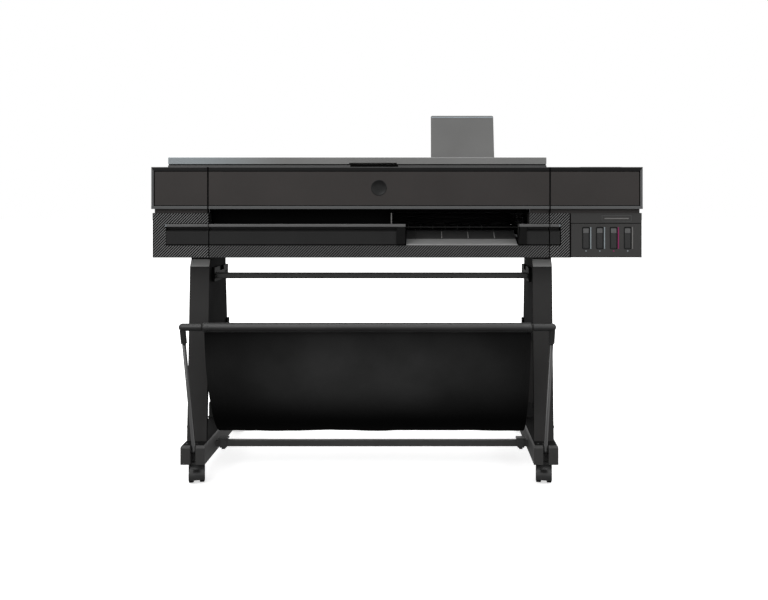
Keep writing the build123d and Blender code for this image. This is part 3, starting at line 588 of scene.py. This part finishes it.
def build_band():
    """Faces, mitred rims and seams of the upper band; the crowns' near-black and the side rims' mid grey are
    painted reflections.
    """
    face_y, rim_y = BAND_Y - 0.9 * MM, BAND_Y - 1.2 * MM
    top, bottom = BAND_Z[1], TRIM_TOP
    side, crown = 7 * MM, 11 * MM
    spans = {
        "left": (BODY_X[0], SEAM_LEFT[0], True, False),
        "center": (SEAM_LEFT[1], SEAM_RIGHT[0], False, False),
        "right": (SEAM_RIGHT[1], BODY_X[1], False, True),
    }
    for key, (x0, x1, left_rim, right_rim) in spans.items():
        in0 = x0 + (side + 3.2 * MM if left_rim else 0.3 * MM)
        in1 = x1 - (side + 3.2 * MM if right_rim else 0.3 * MM)
        face = rect(in0, in1, bottom + 2 * MM, top - crown - 2.4 * MM)
        outline_solid(f"band_face_{key}", face, "y", face_y, BAND_Y, "band", 0.4 * MM, slot="band_plastic")
        a = x0 + (side if left_rim else 0)
        b = x1 - (side if right_rim else 0)
        # The crown on the top bevel carries a painted near-black reflection and the side rims a painted
        # mid-grey one: the same band plastic, toned by which way each bevel faces.
        crown_mesh = mesh_from(f"band_crown_{key}", [
            (x0, BAND_Y, top), (x1, BAND_Y, top), (b, rim_y, top - crown), (a, rim_y, top - crown),
            (b, BAND_Y, top - crown), (a, BAND_Y, top - crown)],
            [(0, 1, 2, 3), (3, 2, 4, 5), (5, 4, 1, 0), (0, 3, 5), (1, 4, 2)])
        piece(f"band_crown_{key}", crown_mesh, "band_dark", slot="band_plastic")
        outline_solid(f"band_edge_{key}", rect(x0, x1, top - 2.4 * MM, top), "y", BAND_Y - 0.6 * MM, BAND_Y,
                      "deck_rim", 0.15 * MM, slot="band_plastic")
        for rim, edge, inner in ((left_rim, x0, a), (right_rim, x1, b)):
            if rim:
                mesh = mesh_from(f"band_rim_{key}", [
                    (edge, BAND_Y, bottom - 8 * MM), (edge, BAND_Y, top), (inner, rim_y, top - crown),
                    (inner, rim_y, bottom), (inner, BAND_Y, top - crown), (inner, BAND_Y, bottom)],
                    [(0, 1, 2, 3), (3, 2, 4, 5), (0, 3, 5), (1, 4, 2), (0, 5, 4, 1)])
                piece(f"band_rim_{key}", mesh, "band_side", slot="band_plastic")
        outline_solid(f"band_groove_{key}", rect(a, b, bottom, top - crown), "y", BAND_Y - 0.25 * MM, BAND_Y,
                      "black", 0.1 * MM, slot="band_plastic")


def build_seams():
    """The black gaps beside the middle front panel, over the band and the fascia."""
    for side, (x0, x1) in (("left", SEAM_LEFT), ("right", SEAM_RIGHT)):
        middle = (x0 + x1) / 2
        low, high = middle - 2 * MM, middle + 2 * MM
        for key, y, z0, z1 in (("band", BAND_Y - 0.5 * MM, BAND_Z[0] + 0.4 * MM, BAND_Z[1]),
                               ("lower", FASCIA_Y, FASCIA_Z[0] + 1.2 * MM, RECESS_Z[0]),
                               ("upper", FASCIA_Y, RECESS_Z[1], FASCIA_Z[1] - 1.2 * MM)):
            outline_solid(f"seam_{key}_{side}", rect(low, high, z0, z1), "y", y - 1.25 * MM, y + 1 * MM,
                          "black", 0.1 * MM, slot="band_plastic")
    end = rounded(SEAM_LEFT[0], -536 * MM, RECESS_Z[1], BAND_Z[0] - 0.4 * MM, 0.5 * MM)
    outline_solid("slot_end", end, "y", FASCIA_Y - 1.4 * MM, FASCIA_Y + 1 * MM, "black", 0.1 * MM,
                  slot="band_plastic")


def build_neck():
    """The dark recessed strip between the band and the fascia, at both ends, toned darker than the fascia as
    painted shade.
    """
    top, bottom = BAND_Z[0] + 0.1 * MM, FASCIA_Z[1] - 0.1 * MM
    spans = {
        "left": (BODY_X[0] + 5.7 * MM, SEAM_LEFT[0]),
        "center": (SLOT_RIGHT + 3 * MM, SEAM_RIGHT[0]),
        "right": (SEAM_RIGHT[1], BODY_X[1] - 5.7 * MM),
    }
    for key, (x0, x1) in spans.items():
        outline_solid(f"neck_{key}", rect(x0, x1, bottom, top), "y", BAND_Y + 11.4 * MM, BAND_Y + 12.2 * MM,
                      "neck", 0.1 * MM, slot="band_plastic")


def build_lid_base():
    """The black shadow gap under the lid's face and the grey rim of the deck below it."""
    (x0, y0, _), (x1, y1, _) = LID
    skirt = rounded(x0 + 1.5 * MM, x1 - 1.5 * MM, y0 + 1.5 * MM, y0 + 6 * MM, 1 * MM)
    outline_solid("lid_gap", skirt, "z", LID_GROOVE[0], LID_GROOVE[1], "band_dark", 0.2 * MM,
                  body="print_cover", slot="lid_plastic")
    for key, a, b in (("left", x0 + 1.5 * MM, x0 + 5.5 * MM), ("right", x1 - 5.5 * MM, x1 - 1.5 * MM)):
        side = rounded(a, b, y0 + 6.2 * MM, y1 - 12 * MM, 1 * MM)
        outline_solid(f"lid_gap_{key}", side, "z", LID_GROOVE[0], LID_GROOVE[1], "band_dark", 0.2 * MM,
                      body="print_cover", slot="lid_plastic")
    crest = LID_GROOVE[0] - 0.4 * MM
    rim = [(y0 - 0.3 * MM, BAND_Z[1]), (y0 - 0.3 * MM, LID_GROOVE[0] - 2 * MM), (y0 + 0.6 * MM, crest),
           (y0 + 3 * MM, crest), (y0 + 3 * MM, BAND_Z[1])]
    # A black strip in front of the lid's finger slot is painted shadow.
    slot_shadow = rounded(-138 * MM, 2 * MM, LID_GROOVE[0] - 4.6 * MM, LID_GROOVE[1] - 0.6 * MM, 1.5 * MM)
    outline_solid("finger_slot_painted_shadow", slot_shadow, "y", y0 - 0.9 * MM, y0 - 0.35 * MM, "black", 0.15 * MM,
                  slot="deck_plastic")
    outline_solid("deck_rim", rim, "x", x0, x1, "deck_rim", 0.3 * MM, slot="deck_plastic")


def build_badges():
    """A blank round badge on the band and a blank name plate over the ink door."""
    low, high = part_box("blank_badges")
    cx, cz = low[0] + 19 * MM, high[2] - 19 * MM
    radius = 22.8 * MM
    face = BAND_Y - 0.9 * MM
    badge = lathe("round_badge", [(face, radius), (face - 0.5 * MM, radius),
                                  (face - 0.9 * MM, radius - 0.7 * MM),
                                  (face - 0.9 * MM, radius - 2 * MM), (face - 0.5 * MM, radius - 2.6 * MM),
                                  (face - 0.5 * MM, radius - 17 * MM)],
                  "badge", "y", (cx, 0, cz), slot="badge_plastic")
    plate_left, plate_right, plate_top = 590.5 * MM, high[0], low[2] + 18 * MM
    outline = rounded(plate_left, plate_right, low[2], plate_top, 1.5 * MM)
    plate = outline_solid("name_plate", outline, "y", FASCIA_Y - 0.9 * MM, FASCIA_Y, "plate", 0.3 * MM,
                          slot="badge_plastic")
    inset = rounded(plate_left + 1.6 * MM, plate_right - 1.6 * MM, low[2] + 1.6 * MM, plate_top - 1.6 * MM,
                    1 * MM)
    outline_solid("name_plate_inset", inset, "y", FASCIA_Y - 1 * MM, FASCIA_Y - 0.8 * MM, "ink", 0.1 * MM,
                  slot="badge_plastic")
    bar = rounded(plate_left + 8 * MM, plate_right - 8 * MM, low[2] + 7.5 * MM, low[2] + 10.5 * MM, 1 * MM)
    outline_solid("name_plate_bar", bar, "y", FASCIA_Y - 1.2 * MM, FASCIA_Y - 0.9 * MM, "neutral", 0.1 * MM,
                  slot="badge_plastic")
    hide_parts("blank_badges")
    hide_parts("blank_badges")


# Output guides


def guide_outline(y0, y1, z0, z1):
    """Section of a guide: a plain face, an undercut and the stem of the lip."""
    return [(y0 + 6 * MM, z0), (y0 + 6 * MM, z0 + 36 * MM), (y0 + 8 * MM, z0 + 38 * MM),
            (y0 + 19 * MM, z0 + 43 * MM), (y0 + 19 * MM, z1 - 8.3 * MM), (y1, z1 - 8.3 * MM), (y1, z0)]


def build_guides():
    """Both output guides, split at the body's seams, with grey lips, whose paleness is painted highlight on
    their upward-facing tops, and end blocks.
    """
    lip, block = 8.3 * MM, 25.4 * MM
    (x0, y0, z0), (x1, y1, z1) = GUIDE_LEFT
    (x2, _, _), (x3, _, _) = GUIDE_RIGHT
    runs = {
        "left_outer": (x0, SEAM_LEFT[0]), "left_inner": (SEAM_LEFT[1], x1 - block),
        "right_inner": (x2 + 23 * MM, SEAM_RIGHT[0]), "right_outer": (SEAM_RIGHT[1], x3),
    }
    for key, (a, b) in runs.items():
        outline_solid(f"guide_{key}", guide_outline(y0, y1, z0, z1), "x", a, b, "guide", 0.8 * MM,
                                  slot="guide_plastic")
        far = b + block if key == "left_inner" else b
        near = x2 + 2 * MM if key == "right_inner" else a
        section = rounded(y0, y1, z1 - lip, z1, 1.6 * MM)
        outline_solid(f"guide_lip_{key}", section, "x", near, far, "guide_lip", 0.5 * MM,
                      slot="guide_plastic")
    left_end = [(x1 - block, z0), (x1 - 0.5 * MM, z0), (x1, z1 - lip), (x1 - block, z1 - lip)]
    outline_solid("guide_end_left", left_end, "y", y0 + 1 * MM, y1, "guide_end", 1 * MM, slot="guide_plastic")
    right_end = [(x2, z0), (x2 + 23 * MM, z0), (x2 + 23 * MM, z1 - lip), (x2 + 4 * MM, z1 - lip)]
    outline_solid("guide_end_right", right_end, "y", y0 + 1 * MM, y1, "guide_end", 1 * MM,
                  slot="guide_plastic")
    # Pale caps at the lips' outer ends are painted highlights.
    for key, end in (("left", x0), ("right", x3 - 2.6 * MM)):
        cap = rounded(y0 - 0.3 * MM, y0 + 9 * MM, z1 - lip + 0.3 * MM, z1 - 0.3 * MM, 1.4 * MM)
        outline_solid(f"guide_lip_end_highlight_{key}", cap, "x", end, end + 2.6 * MM, "pale", 0.4 * MM,
                      slot="guide_plastic")
    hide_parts("output_guide_left")
    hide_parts("output_guide_right")


def build_slot():
    """The bright edge of the shutter, the lip of the ramp and the dark bars inside the slot."""
    low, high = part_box("slot_shutter")
    edge = rounded(high[0] - 2.4 * MM, high[0] + 0.2 * MM, BAND_Y + 8 * MM, low[1] + 1 * MM, 0.8 * MM)
    outline_solid("shutter_edge", edge, "z", GUIDE_LEFT[1][2] + 0.3 * MM, BAND_Z[0] - 0.3 * MM, "neutral",
                  0.2 * MM, slot="trim_metal")
    ramp_low, ramp_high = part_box("output_ramp")
    # The ramp lip and its ribs are painted pale as highlight on their upward-facing tops.
    lip = [(ramp_low[1] + 0.3 * MM, ramp_low[2] + 31.2 * MM), (ramp_low[1] + 1 * MM, ramp_low[2] + 33.5 * MM),
           (ramp_low[1] + 54 * MM, ramp_low[2] + 47.6 * MM), (ramp_low[1] + 54 * MM, ramp_low[2] + 45 * MM)]
    outline_solid("ramp_lip", lip, "x", ramp_low[0] + 1 * MM, ramp_high[0] - 1 * MM, "ramp_lip", 0.6 * MM,
                  slot="ramp_plastic")
    for index in range(1, 4):
        x = ramp_low[0] + 27.6 * MM + 78 * MM * index
        rib = [(BAND_Y + 71 * MM, 708 * MM), (BAND_Y + 108 * MM, 724 * MM), (BAND_Y + 108 * MM, 727 * MM),
               (BAND_Y + 71 * MM, 711 * MM)]
        outline_solid(f"ramp_rib_{index}", rib, "x", x - 1.3 * MM, x + 1.3 * MM, "ramp_lip", 0.3 * MM,
                      slot="ramp_plastic")
    x0, x1 = -553.2 * MM, 389.2 * MM
    for index, (back, level) in enumerate(((96, 787), (98, 774), (100, 762))):
        y, z = BAND_Y + back * MM, level * MM
        outline_solid(f"slot_bar_{index}", rounded(y, y + 7 * MM, z, z + 4 * MM, 1.5 * MM), "x", x0, x1,
                      "black", 0.3 * MM, slot="ramp_plastic")
    lathe("slot_shaft", [(x0, 2 * MM), (x1, 2 * MM)], "cartridge", "x", (0, BAND_Y + 100 * MM, 741 * MM),
          steps=16, slot="ramp_plastic")
    for index in range(7):
        x = high[0] + 47 * MM + 36.5 * MM * index
        star = [(-1.3 * MM, 5 * MM), (-0.9 * MM, 6 * MM), (0.9 * MM, 6 * MM), (1.3 * MM, 5 * MM)]
        lathe(f"slot_star_{index}", star, "cartridge", "x", (x, BAND_Y + 100 * MM, 741 * MM), steps=20,
              slot="ramp_plastic")


# Ink module


def build_ink_door():
    """Bezels, cartridge tops, colour strips and dots of the four windows."""
    front = INK_DOOR[0][1]
    z0, z1 = WINDOWS[0][2], WINDOWS[1][2]
    half = 10.4 * MM
    strips = ("pale", "pale", "magenta", "neutral")
    dots = ("pale", "pale", "magenta", "pale")
    for index, x in enumerate(WINDOW_X):
        outer = rounded(x - half - 0.9 * MM, x + half + 0.9 * MM, z0 - 0.9 * MM, z1 + 0.9 * MM, 4.5 * MM)
        inner = rounded(x - half + 1.7 * MM, x + half - 1.7 * MM, z0 + 1.7 * MM, z1 - 1.7 * MM, 2.6 * MM)
        count = len(outer)
        rows = [[(u, front, v) for u, v in outer], [(u, front - 0.5 * MM, v) for u, v in outer],
                [(u, front - 0.4 * MM, v) for u, v in inner], [(u, front + 1.2 * MM, v) for u, v in inner]]
        verts = [point for row in rows for point in row]
        faces = [(r * count + i, r * count + (i + 1) % count, (r + 1) % 4 * count + (i + 1) % count,
                  (r + 1) % 4 * count + i) for r in range(4) for i in range(count)]
        ring = piece(f"window_bezel_{index}", mesh_from("bezel", verts, faces), "bezel", "ink_door",
                     "ink_plastic")
        bevel(ring, 0.15 * MM, 2)
        label = rounded(x - 8 * MM, x + 8 * MM, z1 - 17 * MM, z1 - 4 * MM, 1.2 * MM)
        outline_solid(f"window_label_{index}", label, "y", front + 0.4 * MM, front + 1.4 * MM, "label",
                      0.3 * MM, body="ink_door", slot="cartridge_plastic")
        card = rounded(x - 7.6 * MM, x + 7.6 * MM, z0 + 3.5 * MM, z1 - 18.5 * MM, 1.2 * MM)
        outline_solid(f"window_card_{index}", card, "y", front + 0.7 * MM, front + 1.4 * MM, "window",
                      0.3 * MM, body="ink_door", slot="window_clear")
        strip = rounded(x + 12.0 * MM, x + 15.2 * MM, z0, z1, 0.8 * MM)
        outline_solid(f"colour_strip_{index}", strip, "y", front - 0.5 * MM, front + 0.2 * MM, strips[index],
                      0.2 * MM, body="ink_door", slot="cartridge_plastic")
        outline_solid(f"colour_dot_{index}", ring_points(x, z0 - 6 * MM, 2.1 * MM, 24), "y", front - 0.4 * MM,
                      front + 0.2 * MM, dots[index], 0.15 * MM, body="ink_door", slot="cartridge_plastic")
    groove = rounded(INK_LEFT - 3.6 * MM, INK_LEFT - 0.2 * MM, FASCIA_Z[0] + 1 * MM, FASCIA_Z[1] - 1 * MM,
                     0.5 * MM)
    door_top = INK_DOOR[1][2]
    line = rounded(INK_LEFT, BODY_X[1] - 0.5 * MM, door_top + 0.15 * MM, door_top + 1.9 * MM, 0.3 * MM)
    outline_solid("ink_line", line, "y", FASCIA_Y - 0.25 * MM, FASCIA_Y + 0.4 * MM, "black", 0.1 * MM,
                  slot="ink_plastic")
    outline_solid("ink_groove", groove, "y", FASCIA_Y - 0.4 * MM, FASCIA_Y, "black", 0.1 * MM,
                  slot="ink_plastic")


# Paper support


def build_support_edge():
    """A pale bevelled strip below the top edge of the leaning paper support."""
    low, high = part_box("sheet_support")
    joints = {joint["name"]: joint for joint in frame["record"]["behaviour"]["joints"]}
    hinge = joints["sheet_support_fold"]
    foot = Vector(hinge["pos_m"][1:])
    lean = math.radians(16.5)
    up, out = Vector((math.sin(lean), math.cos(lean))), Vector((-math.cos(lean), math.sin(lean)))
    length = 176 * MM
    strip = [foot + up * (length - 7.5 * MM) + out * 4 * MM, foot + up * (length - 7.5 * MM) + out * 4.5 * MM,
             foot + up * (length - 3.6 * MM) + out * 4.5 * MM, foot + up * (length - 3.6 * MM) + out * 4 * MM]
    x0, x1 = low[0] + 8 * MM, high[0] - 8 * MM
    outline_solid("support_edge", [tuple(point) for point in strip], "x", x0, x1, "pale", 0.15 * MM,
                  body="sheet_support", slot="lid_plastic")


# Legs


def build_shoulders():
    """A plate of painted light on the sloping shoulder at the top of each leg, paler than the leg's coat
    though it lies in the shade under the body.
    """
    for side in ("left", "right"):
        (x0, y0, _), (x1, _, z1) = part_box(f"leg_{side}")
        lower, upper = Vector((y0 + 34.9 * MM, z1 - 31.4 * MM)), Vector((y0 + 50.3 * MM, z1 - 10.8 * MM))
        out = Vector((-0.8, 0.6)) * 0.8 * MM
        outline = [tuple(point) for point in (lower, upper, upper + out, lower + out)]
        outline_solid(f"leg_shoulder_painted_light_{side}", outline, "x", x0 + 1 * MM, x1 - 1 * MM, "painted_light_facet", 0.2 * MM,
                      slot="stand_metal")


# Casters and fasteners


def placed(shape, centre, axis):
    """Turns a piece modelled along X so that X points along an axis, and moves it to a centre."""
    turn = Vector((1, 0, 0)).rotation_difference(Vector(axis)).to_matrix().to_4x4()
    turn.translation = Vector(centre)
    shape.data.transform(turn)
    return shape


def build_casters():
    """Hub caps and rim rings on every wheel."""
    for joint in frame["record"]["behaviour"]["joints"]:
        name = joint["child"]
        if name.startswith("wheels_"):
            for side in (-1, 1):
                axis = [side * value for value in joint["axis"]]
                hub = [(20.2, 6.2), (21.8, 6), (22.3, 5.2), (22.3, 2.2), (21.6, 1.8)]
                ring = [(20.1, 16.8), (21.2, 16.5), (21.5, 15.6), (21.5, 13.6), (21.1, 13), (20.1, 12.8)]
                for part, sections, material in (("hub", hub, "caster"), ("ring", ring, "bracket")):
                    label = "left" if side < 0 else "right"
                    turned = lathe(f"{name}_{part}_{label}",
                                   [(a * MM, r * MM) for a, r in sections], material, body=name,
                                   slot="wheel_rubber")
                    placed(turned, joint["pos_m"], axis)


def screw(name, centre, axis, radius=4.2 * MM, body="printer"):
    """A domed screw head with a round socket."""
    head = [(-0.5 * MM, radius), (0.9 * MM, radius), (1.8 * MM, radius * 0.82), (2.1 * MM, radius * 0.6),
            (2.1 * MM, radius * 0.5), (0.9 * MM, radius * 0.42)]
    shape = lathe(name, head, "steel_dark", steps=24, body=body, slot="stand_metal")
    return placed(shape, centre, axis)


def build_screws():
    """Screws on the legs' sides, the feet and the crossbar brackets."""
    for side, sign in (("left", -1), ("right", 1)):
        (x0, y0, z0), (x1, _, z1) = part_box(f"leg_{side}")
        outer, inner = (x0, x1) if sign < 0 else (x1, x0)
        for index, (y, z) in enumerate(((y0 + 75 * MM, z1 - 30 * MM), (y0 + 205 * MM, z1 - 30 * MM),
                                        (y0 + 9.9 * MM, z0 + 40 * MM), (y0 + 290 * MM, z0 + 75 * MM))):
            screw(f"leg_screw_{side}_{index}", (outer, y, z), (sign, 0, 0))
        plate = 8 * MM
        for index, (y, z) in enumerate(((BAND_Y + 124 * MM, 592 * MM), (BAND_Y + 270 * MM, 596 * MM))):
            screw(f"bracket_screw_{side}_{index}", (inner - sign * plate, y, z), (-sign, 0, 0), 3.4 * MM)
        (x0, y0, _), (x1, _, z1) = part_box(f"foot_{side}")
        for index, y in enumerate((y0 + 22 * MM, y0 + 410 * MM)):
            x = (x0 + x1) / 2 if index else x0 + 14 * MM
            screw(f"foot_screw_{side}_{index}", (x, y, z1), (0, 0, 1), 3.6 * MM)


# Control panel and rear


def build_control_panel():
    """A glass face, three touch spots and a ring round the power button."""
    (x0, y0, _), (x1, y1, top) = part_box("control_panel")
    glass = rounded(x0 + 6 * MM, x1 - 6 * MM, y0 + 6 * MM, y1 - 6 * MM, 3 * MM)
    outline_solid("panel_glass", glass, "z", top - 0.3 * MM, top + 0.5 * MM, "gloss", 0.3 * MM,
                  slot="panel_gloss")
    for index in range(3):
        x = x0 + 30 * MM + index * 35 * MM
        spot = [(top - 0.1 * MM, 6 * MM), (top + 0.7 * MM, 5.8 * MM), (top + 0.7 * MM, 4.9 * MM),
                (top - 0.1 * MM, 4.7 * MM)]
        lathe(f"panel_spot_{index}", spot, "neutral", "z", (x, y0 + 18 * MM, 0), slot="panel_gloss")
    (x0, y0, _), (x1, y1, top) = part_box("power_button")
    centre = ((x0 + x1) / 2, (y0 + y1) / 2, 0)
    ring = [(top - 0.1 * MM, 4.4 * MM), (top + 0.25 * MM, 4.2 * MM), (top + 0.25 * MM, 3.4 * MM),
            (top - 0.1 * MM, 3.2 * MM)]
    lathe("power_ring", ring, "neutral", "z", centre, body="power_button", slot="button_plastic")


def build_rear():
    """Vent slats and a blank rating plate on the rear panel, and grips on both sides."""
    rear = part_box("rear_panel")[1][1]
    for index in range(9):
        z = 730 * MM + index * 11 * MM
        slat = rounded(440 * MM, 660 * MM, z, z + 6 * MM, 2.4 * MM)
        outline_solid(f"vent_slat_{index}", slat, "y", rear - 1 * MM, rear + 0.9 * MM, "ribs", 0.5 * MM,
                      slot="fascia_plastic")
        gap = rounded(441 * MM, 659 * MM, z + 6.2 * MM, z + 10.8 * MM, 1.8 * MM)
        outline_solid(f"vent_gap_{index}", gap, "y", rear - 1 * MM, rear + 0.15 * MM, "black", 0.1 * MM,
                      slot="fascia_plastic")
    plate = rounded(-670 * MM, -590 * MM, 672 * MM, 712 * MM, 2 * MM)
    outline_solid("rating_plate", plate, "y", rear - 0.5 * MM, rear + 0.4 * MM, "label", 0.2 * MM,
                  slot="fascia_plastic")
    grips = (("side_grip", 0.0, 0.8 * MM, "band_dark"), ("side_grip_well", 4 * MM, 1.1 * MM, "black"))
    for side, x, sign in (("left", BODY_X[0], -1), ("right", BODY_X[1], 1)):
        for part, inset, proud, material in grips:
            outline = rounded(0.02 + inset, 0.16 - inset, 0.845 + inset, 0.872 - inset, 12 * MM - inset)
            near, far = sorted((x - sign * MM, x + sign * proud))
            outline_solid(f"{part}_{side}", outline, "x", near, far, material, 0.4 * MM, slot="band_plastic")


# Basket


def spine(points, steps):
    """A smooth curve through points (Catmull-Rom, centripetal), as steps per span."""
    curve = []
    extended = [points[0] * 2 - points[1], *points, points[-1] * 2 - points[-2]]
    for p0, p1, p2, p3 in zip(extended, extended[1:], extended[2:], extended[3:]):
        for step in range(steps):
            t = step / steps
            curve.append(0.5 * (2 * p1 + (p2 - p0) * t + (2 * p0 - 5 * p1 + 4 * p2 - p3) * t * t
                                + (3 * p1 - p0 - 3 * p2 + p3) * t ** 3))
    curve.append(points[-1])
    return curve


def centre_of(name):
    """Centre of a CAD node's box."""
    return [(a + b) / 2 for a, b in zip(*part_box(name))]


def sling_path():
    """Side view of the fabric as (y, z): round the front bar, down the trough and round the rear tube."""
    bar = Vector(centre_of("basket_bar")[1:])
    tube = Vector(centre_of("basket_rear_tube")[1:])
    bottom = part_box("basket_sling")[0][2] + 1 * MM
    wrap, rear_wrap = 11.2 * MM, 9.6 * MM
    front = [bar + Vector((math.cos(math.radians(a)), math.sin(math.radians(a)))) * wrap
             for a in range(-60, -330, -15)]
    back = [tube + Vector((math.cos(math.radians(a)), math.sin(math.radians(a)))) * rear_wrap
            for a in range(-35, 285, 15)]
    hang = [bar + Vector(offset) * MM for offset in ((9, -30), (32, -135), (76, -227), (126, -295))]
    hang += [Vector((bar.x, bottom)) + Vector(offset) * MM
             for offset in ((176, 11), (230, 0), (289, 24), (346, 115))]
    hang.append(tube + Vector((-20, -62)) * MM)
    return spine([*front, *hang, *back], 4)


def lengths_along(path):
    """Distance from the start of a path to each of its points."""
    lengths = [0.0]
    for a, b in zip(path, path[1:]):
        lengths.append(lengths[-1] + (b - a).length)
    return lengths


def sling_columns(half_width):
    """Places across the fabric, in millimetres from its middle: fine steps in the hems, even ones between."""
    inner = 110
    hem = [0, 4, 8, 12, 12.8]
    rims = [-half_width + step for step in hem]
    middle = [rims[-1] + (step + 1) * (half_width - hem[-1]) * 2 / inner for step in range(inner - 1)]
    return rims + middle + [-step for step in reversed(rims)]


def sling_slack(x, length, edge):
    """How far loose cloth stands off its path: slow folds, small creases and a shallow belly."""
    slack = noise.noise(Vector((x * 7, length * 2.2, 3.1))) * 2.6 * MM
    slack += noise.noise(Vector((x * 22, length * 4.0, 8.4))) * 0.8 * MM
    return slack + (1 - edge ** 2) * 1.8 * MM


def sling_grid(path, lengths, x0, x1):
    """The fabric's points, their places on the flat cloth and how many there are in a row."""
    half_width = (x1 - x0) / 2 / MM
    columns = sling_columns(half_width)
    centre = (x0 + x1) / 2
    points, flat = [], []
    for row, (point, length) in enumerate(zip(path, lengths)):
        before, after = path[max(row - 1, 0)], path[min(row + 1, len(path) - 1)]
        normal = Vector((-(after - before).y, (after - before).x)).normalized()
        free = math.sin(math.pi * min(max((length - 0.1) / (lengths[-1] - 0.2), 0), 1))
        for step in columns:
            x = centre + step * MM
            hemmed = 0.7 * MM if abs(step) > half_width - 12.4 else 0.0
            place = point + normal * (free * sling_slack(x, length, abs(step) / half_width) + hemmed)
            points.append((x, place.x, place.y))
            flat.append((x, length))
    return points, flat, len(columns)


def sling_mesh(path, lengths, x0, x1):
    """The fabric as one grid with a map of the flat cloth; both sleeves have the hem's finish."""
    points, flat, width = sling_grid(path, lengths, x0, x1)
    starts = [row * width + column for row in range(len(path) - 1) for column in range(width - 1)]
    mesh = bpy.data.meshes.new("basket_fabric")
    mesh.from_pydata(points, [], [(a, a + 1, a + width + 1, a + width) for a in starts])
    layer = mesh.uv_layers.new(name="cloth")
    for loop in mesh.loops:
        layer.data[loop.index].uv = flat[loop.vertex_index]
    mesh.shade_smooth()
    mesh.materials.append(MATERIALS["fabric"])
    mesh.materials.append(MATERIALS["hem"])
    for face in mesh.polygons:
        length = lengths[face.vertices[0] // width]
        face.material_index = 0 if SLEEVE_LENGTH < length < lengths[-1] - SLEEVE_LENGTH else 1
    return mesh


def build_sling():
    """The fabric basket: one sheet with sleeves, side hems, slack folds and a woven finish."""
    path = sling_path()
    lengths = lengths_along(path)
    low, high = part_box("basket_sling")
    x0, x1 = low[0] + 0.5 * MM, high[0] - 0.5 * MM
    sheet = bpy.data.objects.new("basket_fabric", sling_mesh(path, lengths, x0, x1))
    bpy.context.scene.collection.objects.link(sheet)
    thick = sheet.modifiers.new("thickness", "SOLIDIFY")
    thick.thickness = 1.0 * MM
    thick.offset = 0
    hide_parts("basket_sling")
    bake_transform(sheet)


# Stage


def build_world():
    """Near-white above the horizon and dim below it, so that undersides stay dark."""
    world = bpy.data.worlds.new("studio")
    world.use_nodes = True
    nodes, links = world.node_tree.nodes, world.node_tree.links
    coords = nodes.new("ShaderNodeTexCoord")
    split = nodes.new("ShaderNodeSeparateXYZ")
    height = nodes.new("ShaderNodeMapRange")
    height.inputs["From Min"].default_value = -0.16
    height.inputs["From Max"].default_value = -0.05
    height.inputs["To Min"].default_value = 0.12
    height.inputs["To Max"].default_value = 1.0
    links.new(coords.outputs["Generated"], split.inputs["Vector"])
    links.new(split.outputs["Z"], height.inputs["Value"])
    links.new(height.outputs["Result"], nodes["Background"].inputs["Strength"])
    nodes["Background"].inputs["Color"].default_value = (1, 1, 1, 1)
    bpy.context.scene.world = world


def build_floor():
    """A wide pale floor that glows a little, so that it fades into the background."""
    size = 30.0
    mesh = bpy.data.meshes.new("floor")
    corners = [(x, y, FLOOR_Z) for x, y in rect(-size, size, -size, size)]
    mesh.from_pydata(corners, [], [(0, 1, 2, 3)])
    floor = bpy.data.objects.new("floor", mesh)
    bpy.context.scene.collection.objects.link(floor)
    pale = grained("floor_pale", (0.95, 0.95, 0.95), 0.9, 60, 0.02 * MM, 0.01, specular=0.0)
    shader = pale.node_tree.nodes["Principled BSDF"]
    shader.inputs["Emission Color"].default_value = (1, 1, 1, 1)
    shader.inputs["Emission Strength"].default_value = 0.6
    mesh.materials.append(pale)
    floor.visible_diffuse = False
    floor.visible_glossy = False


def build_lamps():
    """A key light from the left, a weaker fill from the right and a soft light from above."""
    middle = Vector((0, 0, 0.75))
    for name, place, size, power in (("key", (-1.6, -3.0, 3.0), 2.2, 40), ("fill", (2.6, -2.6, 1.8), 2.4, 14),
                                     ("top", (0, 0.2, 3.2), 2.6, 50)):
        lamp = bpy.data.lights.new(name, "AREA")
        lamp.size = size
        lamp.energy = power
        holder = bpy.data.objects.new(name, lamp)
        holder.location = place
        holder.rotation_euler = (middle - Vector(place)).to_track_quat("-Z", "Y").to_euler()
        bpy.context.scene.collection.objects.link(holder)


def build_camera():
    """The photograph's camera: level, 2.5 m in front of the body, with its picture shifted."""
    data = bpy.data.cameras.new("camera")
    data.sensor_width = 36.0
    data.lens = 40.76
    data.shift_x = -0.0495
    data.shift_y = -0.1328
    camera = bpy.data.objects.new("camera", data)
    camera.location = (71.9 * MM, BAND_Y - 2.5, 828 * MM)
    camera.rotation_euler = (math.radians(90), 0, 0)
    bpy.context.scene.collection.objects.link(camera)
    bpy.context.scene.camera = camera
    bpy.context.scene.view_settings.view_transform = "Standard"


build_floor()
build_world()
build_lamps()
build_camera()
finish_cad_nodes()
build_ribs()
build_band()
build_badges()
build_guides()
build_slot()
build_ink_door()
build_seams()
build_neck()
build_lid_base()
build_support_edge()
build_shoulders()
build_casters()
build_screws()
build_control_panel()
build_rear()
build_sling()
